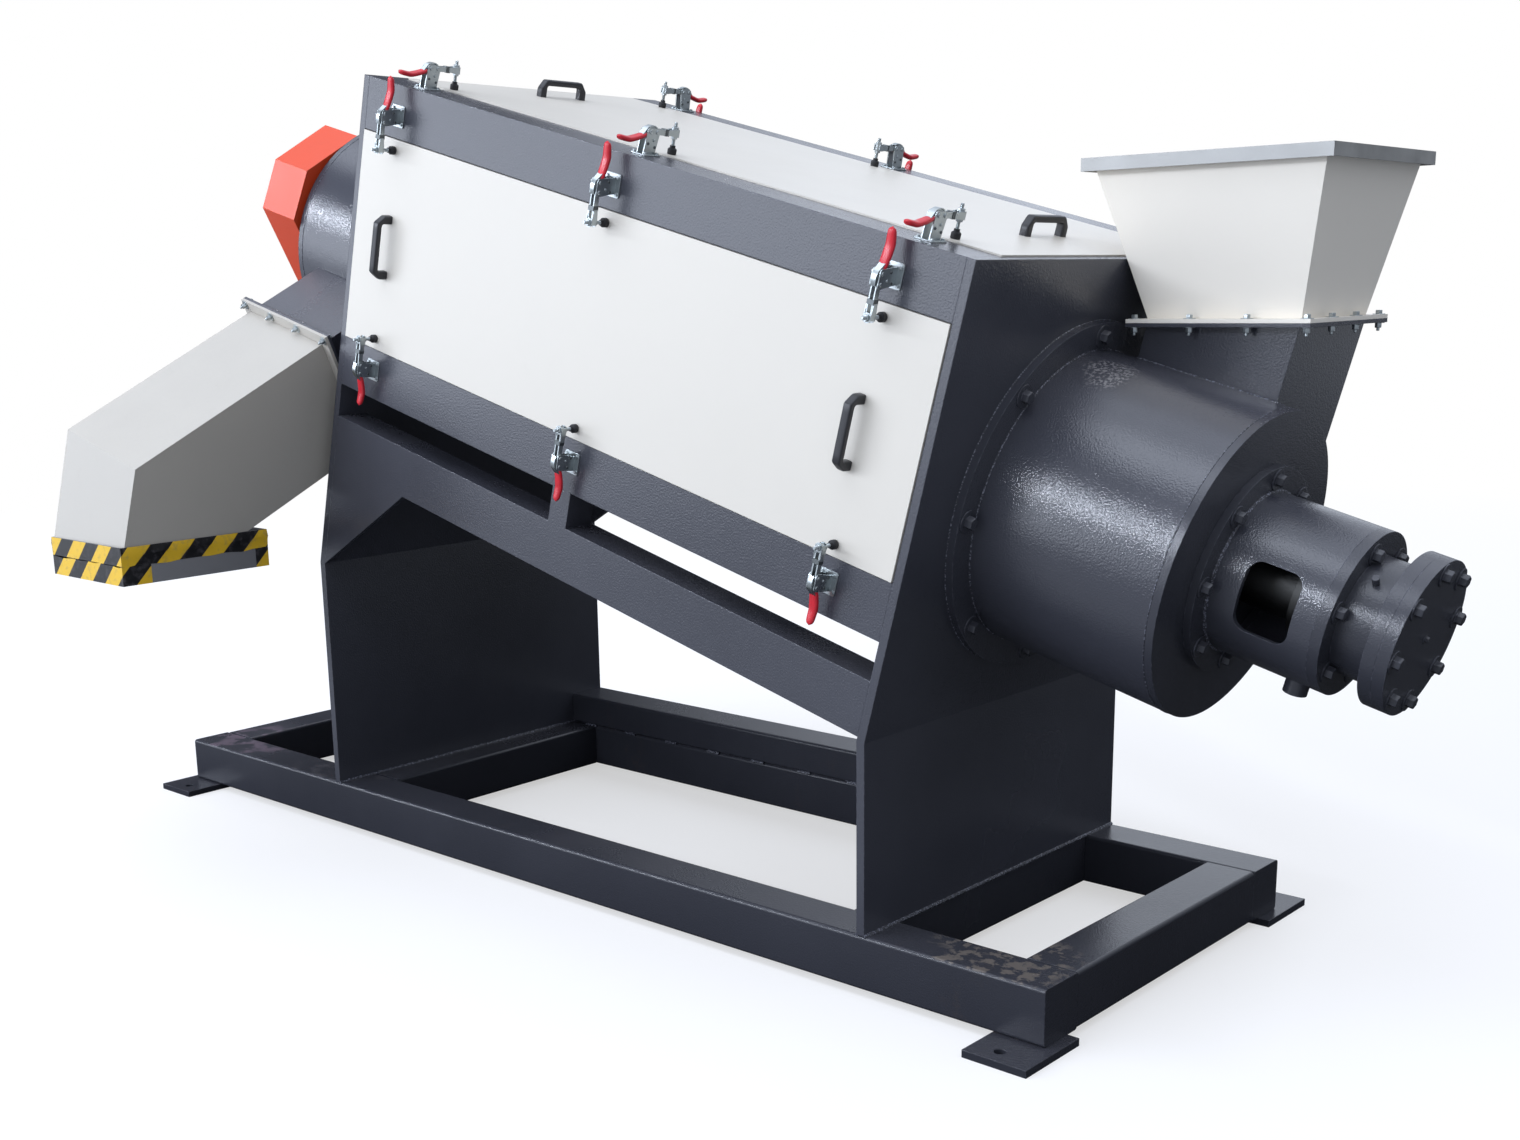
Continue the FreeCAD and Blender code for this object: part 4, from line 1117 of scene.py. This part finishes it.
class WASHER_OT_handles(bpy.types.Operator):
    """Build the moulded bridge handles over the plain solids of the frame."""

    bl_idname = "washer.handles"
    bl_label = "Handles"

    def execute(self, context):
        for node, out, long_way in (("door_handles_front", -ACROSS, UP_N),
                                    ("door_handles_rear", ACROSS, UP_N),
                                    ("cover_handles", UP_N, ACROSS)):
            b = Builder("plastic")
            for row in rows_along(node):
                ends = [p.dot(long_way) for p in row]
                base = min(p.dot(out) for p in row)
                height = max(p.dot(out) for p in row) - base
                centre = long_way * (min(ends) + max(ends)) / 2 + out * base + row_middle(row)
                width = (row[-1] - row[0]).dot(ALONG)
                self.handle(b, axes(centre, out, long_way), (max(ends) - min(ends)) / 2, height,
                            width / 2)
            b.build("bridge_" + node, "machine", replaced=(node,))
        return {"FINISHED"}

    def handle(self, b, m, half, height, half_w):
        """Handle from its outer and inner edge points, mirrored about the middle."""
        foot, bar = 2 * half_w, height / 3
        edges = [((half, 0), (half - foot, 0)),
                 ((half, height * 0.25), (half - foot, height * 0.25)),
                 ((half - 0.5 * MM, height * 0.47), (half - foot, height * 0.50)),
                 ((half - 3 * MM, height * 0.56), (half - foot - 0.5 * MM, height * 0.60)),
                 ((half - 15 * MM, height * 0.94), (half - foot - 3 * MM, height - bar * 1.06)),
                 ((half - 19 * MM, height), (half - foot - 7 * MM, height - bar)),
                 ((half - 34 * MM, height), (half - foot - 18 * MM, height - bar))]
        edges += [((-o[0], o[1]), (-i[0], i[1])) for o, i in reversed(edges)]
        rings = []
        for (ox, oz), (ix, iz) in edges:
            o, i = Vector((ox, 0, oz)), Vector((ix, 0, iz))
            centre, arm = (o + i) / 2, (o - i) / 2
            ring = []
            for px, py in rounded_rect(2.0, 2.0, 0.42, 3):
                ring.append(m @ (centre + arm * px + Vector((0, half_w * py, 0))))
            rings.append(ring)
        b.loft(rings)


class WASHER_OT_motor(bpy.types.Operator):
    """Add the cooling fins of the motor, which leave room for its feet and terminal box."""

    bl_idname = "washer.motor"
    bl_label = "Motor fins"

    def execute(self, context):
        s = settings("motor")
        (u0, u1), (y0, y1), _ = span("motor")
        widest = max(corners("motor"), key=lambda p: p.y)
        centre = at((u0 + u1) / 2, (y0 + y1) / 2, unplace(widest)[2])
        radius = (y1 - y0) / 2 - s.fin_height
        half = (u1 - u0) * FINS_OF_LENGTH / 2
        rise = s.fin_height + MM
        outline = [(-s.fin / 2, 0), (s.fin / 2, 0), (s.fin * 0.3, rise), (-s.fin * 0.3, rise)]
        b = Builder("motor")
        for i in range(s.fins):
            a = TURN * (i + 0.5) / s.fins
            if FINS_FROM < math.cos(a) < FINS_TO:
                out = ACROSS * math.sin(a) + UP_N * math.cos(a)
                side = ACROSS * math.cos(a) - UP_N * math.sin(a)
                b.prism(axes(centre + out * (radius - 2 * MM), ALONG, side), outline, -half, half)
        b.build("motor_fins", "machine")
        return {"FINISHED"}


class WASHER_OT_tape(bpy.types.Operator):
    """Wrap hazard tape round the collar of the discharge mouth."""

    bl_idname = "washer.tape"
    bl_label = "Hazard tape"

    def execute(self, context):
        s = settings("tape")
        lo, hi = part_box("mouth_collar")
        b = Builder("collar", "tape")
        self.walls(b, lo, hi, s.film)
        b.finish("tape")
        turns = [Vector((x, y, 0)) for x, y in rectangle(lo, hi, 0)]
        top, low = (hi.z - s.width, hi.z), (lo.z, lo.z + s.width * LOW_TAPE)
        along = 0.0
        for i, start in enumerate(turns):
            end = turns[(i + 1) % 4]
            self.strip(b, s, start, end, top, along, UPPER_PHASE, s.fold if i else 0)
            along += (end - start).length
        first, second, third, _ = turns
        self.strip(b, s, first, second, low)
        self.strip(b, s, second, second.lerp(third, LOW_TAPE_SIDE), low, (second - first).length)
        rear = third + (second - third).normalized() * s.width * REAR_TAPE
        self.strip(b, s, rear, third, (lo.z, hi.z), REAR_START, REAR_PHASE)
        b.build("taped_collar", "machine", replaced=("mouth_collar",))
        return {"FINISHED"}

    def walls(self, b, lo, hi, film):
        """Folded sheet walls of the collar under the tape, open above and below."""
        made = []
        for inset, z in ((film, lo.z), (film, hi.z), (film + WALL, hi.z), (film + WALL, lo.z)):
            made.append(b.ring([Vector((x, y, z)) for x, y in rectangle(lo, hi, inset)]))
        b.chain(made + made[:1])

    def strip(self, b, s, start, end, levels, along=0.0, phase=0.0, fold=0.0):
        """One length of tape with wavy edges; fold is how far its crease stands out."""
        way = (end - start).normalized()
        out = Vector((way.y, -way.x, 0))
        length = (end - start).length
        count = max(2, round(length / TAPE_STEP))
        rows = ((0.0, 0.0), (0.5, 0.35), (0.62, 1.0), (1.0, 0.0)) if fold else ((0, 0), (1, 0))
        loose = levels[0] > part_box("mouth_collar")[0].z + MM
        uv = b.bm.loops.layers.uv.get("tape") or b.bm.loops.layers.uv.new("tape")
        lines = []
        for share, rise in rows:
            line = []
            for k in range(count + 1):
                d = length * k / count
                p = start + way * d
                wave = noise.noise(Vector((p.x, p.y, share * 3 + phase)) * 22) * s.wave
                z = levels[0] + (levels[1] - levels[0]) * share
                if share == 0 and loose:
                    z += wave
                elif 0 < share < 1:
                    z = min(levels[1] - MM, max(levels[0] + MM, z + wave))
                vert = b.bm.verts.new(p + out * (fold * rise) + UP * z)
                line.append((vert, (along + d, z + phase * TAPE_PITCH)))
            lines.append(line)
        for low, high in zip(lines, lines[1:]):
            for k in range(count):
                corner = (low[k], low[k + 1], high[k + 1], high[k])
                f = b.face([c[0] for c in corner])
                for loop, c in zip(f.loops, corner):
                    loop[uv].uv = c[1]


def rectangle(lo, hi, inset):
    """Corners of a box seen from above, an inset inwards."""
    x0, y0, x1, y1 = lo.x + inset, lo.y + inset, hi.x - inset, hi.y - inset
    return (x0, y0), (x1, y0), (x1, y1), (x0, y1)


def resample(points, step):
    """Points at even steps along a polyline."""
    out = [points[0].copy()]
    for a, c in zip(points, points[1:]):
        count = max(1, round((c - a).length / step))
        out += [a.lerp(c, k / count) for k in range(1, count + 1)]
    return out


def bead(b, points, leg, ripple, seed=0.0):
    """Rippled weld bead along a line in the corner of two pieces."""
    fine = resample(points, ripple / 3)

    def radius(i):
        p = fine[i] * 90
        wave = 0.16 * abs(math.sin(math.pi * i / 3 + 0.4))
        return leg / 2 * (0.92 + wave + 0.22 * noise.noise(p + Vector((seed, 0, 0))))

    moved = [p + Vector((noise.noise(p * 60), noise.noise(p * 60 + Vector((9, 0, 0))), 0))
             * leg * 0.12 for p in fine]
    b.tube(moved, radius, 7)


def circle_line(u, radius, start=0.0, end=360.0, steps=72):
    """Points of an arc about the rotor axis, from n towards +y, in degrees."""
    out = []
    for k in range(steps + 1):
        a = math.radians(start + (end - start) * k / steps)
        out.append(at(u, radius * math.sin(a), radius * math.cos(a)))
    return out


class WASHER_OT_welds(bpy.types.Operator):
    """Add the painted weld beads."""

    bl_idname = "washer.welds"
    bl_label = "Weld beads"

    def execute(self, context):
        s = settings("welds")
        self.base(s)
        self.feed_end(s)
        self.discharge_end(s)
        return {"FINISHED"}

    def base(self, s):
        b = Builder("weld")
        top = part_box("base_rail_front")[1].z
        for node in ("end_plate_feed", "end_plate_discharge"):
            low = [p for p in corners(node) if p.z < top + MM]
            y0, y1 = min(p.y for p in low), max(p.y for p in low)
            for x in (min(p.x for p in low), max(p.x for p in low)):
                bead(b, [Vector((x, y0, top)), Vector((x, y1, top))], s.leg, s.ripple, x)
        lo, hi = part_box("rear_upper_beam")
        spot = lo.x + STITCH_START
        while spot < hi.x - STITCH:
            bead(b, [Vector((x, lo.y, top)) for x in (spot, spot + STITCH)], s.leg * 0.9,
                 s.ripple, spot)
            spot += STITCH_STEP
        for node in ("cross_rail_discharge_end", "cross_rail_feed_end"):
            lo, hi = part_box(node)
            inner = min(lo.x, hi.x, key=abs)
            for y in (lo.y, hi.y):
                bead(b, [Vector((inner, y, z)) for z in (lo.z + 2 * RAIL_END, hi.z - RAIL_END)],
                     s.leg * 0.8, s.ripple, inner + y)
        b.build("base_welds", "machine")

    def feed_end(self, s):
        b = Builder("weld")
        (plate_u, ring_u), (_, ring_r), _ = span("feed_ring_flange")
        drum_r = span("feed_drum")[1][1]
        disc_u = span("feed_drum_disc")[0][0]
        (lantern_u, _), (_, lantern_r), _ = span("lantern_tube")
        circles = ((ring_u, drum_r, s.small_leg), (disc_u, drum_r + EDGE_RISE, s.fine_leg),
                   (lantern_u, lantern_r, s.leg), (plate_u, ring_r, s.small_leg * 0.7))
        for seed, (u, radius, leg) in enumerate(circles, 1):
            bead(b, circle_line(u, radius), leg, s.ripple, seed)
        y0, y1 = span("feed_chute")[1]
        n0 = math.sqrt(drum_r ** 2 - y0 ** 2)
        ends = range_at("feed_chute", y0)
        bead(b, [at(u, y0, n0) for u in ends], s.small_leg, s.ripple, 5)
        start, end = (math.degrees(math.asin(y / drum_r)) for y in (y0, min(y1, drum_r * 0.99)))
        for u in ends:
            bead(b, circle_line(u, drum_r, start, end, 24), s.small_leg, s.ripple, 6)
        b.build("feed_end_welds", "machine")

    def discharge_end(self, s):
        b = Builder("weld")
        (_, plate_u), (_, drum_r), _ = span("discharge_drum")
        disc_u = span("discharge_disc")[0][1]
        bead(b, circle_line(plate_u, drum_r), s.small_leg, s.ripple, 7)
        bead(b, circle_line(disc_u, drum_r + EDGE_RISE), s.fine_leg, s.ripple, 8)
        top, bottom, (u0, u1) = slope_frame()
        corner = top + (bottom - top).normalized() * BOX_INSET
        hit = line_circle(corner, slope_way(), drum_r)
        bead(b, [at(u, hit.y, hit.z) for u in (u0 + BOX_INSET, u1 - BOX_INSET)], s.small_leg,
             s.ripple, 9)
        b.build("discharge_end_welds", "machine")


def line_circle(p, way, radius):
    """Front point where a line in the y, n plane meets a circle about the axis."""
    half = p.dot(way)
    root = math.sqrt(half * half - p.length_squared + radius * radius)
    return min((p + way * t for t in (-half - root, -half + root)), key=lambda hit: hit.y)


def range_at(node, y):
    """Range of u of the lower vertices of a node near a given y."""
    us = [u for u, across, n in map(unplace, corners(node))
          if abs(across - y) < MM and n < CHUTE_FOOT]
    return min(us), max(us)


class WASHER_OT_stage(bpy.types.Operator):
    """Set up floor, light and camera."""

    bl_idname = "washer.stage"
    bl_label = "Studio and camera"

    def execute(self, context):
        self.floor()
        self.world(context.scene)
        self.lamps()
        self.camera(context.scene)
        context.scene.view_settings.view_transform = "Standard"
        return {"FINISHED"}

    def floor(self):
        """White to the camera; to the machine dark near it and pale in front and further out."""
        half = settings("stage").floor_half
        mesh = bpy.data.meshes.new("floor")
        mesh.from_pydata([(-half, -half, 0), (half, -half, 0), (half, half, 0), (-half, half, 0)],
                         [], [(0, 1, 2, 3)])
        material = bpy.data.materials.new("Floor")
        material.use_nodes = True
        g = Graph(material.node_tree)
        g.tree.nodes.clear()
        far = g.vector("LENGTH", g.coords())
        front = g.ramp(g.split(g.coords())["Y"], *PALE_FRONT, 0.0, FRONT_SHARE)
        pale = g.math("MAXIMUM", g.ramp(far, *PALE_FAR), front)
        tone = g.mix(pale, (FLOOR_DARK,) * 3, (FLOOR_PALE,) * 3)
        mirrored = g.fill(g.add("ShaderNodeBsdfDiffuse"), Color=tone)
        shaded = g.fill(g.add("ShaderNodeBsdfDiffuse"), Color=FLOOR_SEEN)
        glow = g.fill(g.add("ShaderNodeEmission"), Strength=FLOOR_GLOW)
        near = g.add("ShaderNodeAddShader")
        g.link(shaded.outputs[0], near.inputs[0])
        g.link(glow.outputs[0], near.inputs[1])
        white = g.add("ShaderNodeEmission")
        seen = self.blend(g, g.ramp(far, *WHITE_FAR), near, white)
        path = g.add("ShaderNodeLightPath").outputs["Is Camera Ray"]
        both = self.blend(g, path, mirrored, seen)
        g.fill(g.add("ShaderNodeOutputMaterial"), Surface=both.outputs[0])
        mesh.materials.append(material)
        add_object("floor", mesh)

    def blend(self, g, factor, first, second):
        """Mix of two shader nodes."""
        node = g.fill(g.add("ShaderNodeMixShader"), Fac=factor)
        g.link(first.outputs[0], node.inputs[1])
        g.link(second.outputs[0], node.inputs[2])
        return node

    def world(self, scene):
        """White to the camera; for the machine a hall that is bright in front and above."""
        scene.world = bpy.data.worlds.new("Studio")
        scene.world.use_nodes = True
        g = Graph(scene.world.node_tree)
        g.tree.nodes.clear()
        way = g.add("ShaderNodeTexCoord").outputs["Generated"]
        total = HALL_BASE
        for azimuth, elevation, low, high, value in HALL_LOBES:
            near = g.vector("DOT_PRODUCT", way, direction(azimuth, elevation))
            total = g.math("ADD", g.ramp(near, low, high, 0.0, value), total)
        light = g.add("ShaderNodeCombineXYZ")
        g.fill(light, **{axis: g.product(total, tint) for axis, tint in zip("XYZ", DAYLIGHT)})
        path = g.add("ShaderNodeLightPath").outputs["Is Camera Ray"]
        shown = g.mix(path, light.outputs["Vector"], (1.0, 1.0, 1.0))
        background = g.fill(g.add("ShaderNodeBackground"), Color=shown)
        g.fill(g.add("ShaderNodeOutputWorld"), Surface=background.outputs[0])

    def lamps(self):
        s = settings("stage")
        for name, azimuth, elevation, distance, dims, share in HALL_LIGHTS:
            self.panel(name, azimuth, elevation, distance, dims, share * s.light)

    def panel(self, name, azimuth, elevation, distance, dims, radiance):
        """Soft rectangle of light that faces the machine from a direction."""
        light = bpy.data.lights.new(name, "AREA")
        light.shape = "RECTANGLE"
        light.size, light.size_y = dims
        light.color = DAYLIGHT
        light.energy = radiance * math.pi * dims[0] * dims[1]
        obj = add_object(name, light)
        way = direction(azimuth, elevation)
        level = direction(azimuth + 90, 0)
        obj.matrix_world = axes(LIT_POINT + way * distance, way, level)
        obj.visible_camera = False

    def camera(self, scene):
        s = settings("stage")
        a, e, r = s.azimuth, s.drop, s.roll
        look = Vector((-math.sin(a) * math.cos(e), math.cos(a) * math.cos(e), -math.sin(e)))
        right = Vector((math.cos(a), math.sin(a), 0))
        data = bpy.data.cameras.new("camera")
        data.sensor_fit = "HORIZONTAL"
        data.sensor_width = 36.0
        data.lens = s.focal
        data.shift_x, data.shift_y = CAMERA_SHIFT
        data.clip_end = 100
        obj = add_object("camera", data)
        obj.matrix_world = axes(CAMERA_PLACE, -look,
                                right * math.cos(r) + right.cross(look) * math.sin(r))
        scene.camera = obj


class WASHER_PT_panel(bpy.types.Panel):
    """Steps and values of the washer's looks."""

    bl_idname = "WASHER_PT_panel"
    bl_label = "Friction washer"
    bl_space_type = "VIEW_3D"
    bl_region_type = "UI"
    bl_category = "Washer"

    def draw(self, context):
        for operator in OPERATORS:
            self.layout.operator(operator.bl_idname)


PROPERTY_GROUPS = {"paints": WasherPaints, "bolts": WasherBolts, "clamps": WasherClamps,
                   "welds": WasherWelds, "tape": WasherTape,
                   "motor": WasherMotor, "stage": WasherStage}
OPERATORS = (WASHER_OT_paint, WASHER_OT_bolts, WASHER_OT_clamps, WASHER_OT_handles,
             WASHER_OT_welds, WASHER_OT_motor, WASHER_OT_tape, WASHER_OT_stage)


def register():
    for cls in PROPERTY_GROUPS.values():
        bpy.utils.register_class(cls)
    for name, cls in PROPERTY_GROUPS.items():
        setattr(bpy.types.Scene, "washer_" + name, PointerProperty(type=cls))
    for cls in OPERATORS + (WASHER_PT_panel,):
        bpy.utils.register_class(cls)


def unregister():
    for cls in reversed(OPERATORS + (WASHER_PT_panel,)):
        bpy.utils.unregister_class(cls)
    for name, cls in PROPERTY_GROUPS.items():
        delattr(bpy.types.Scene, "washer_" + name)
        bpy.utils.unregister_class(cls)


def main():
    register()
    for operator in OPERATORS:
        section, step = operator.bl_idname.split(".")
        getattr(getattr(bpy.ops, section), step)()


if __name__ == "__main__":
    main()
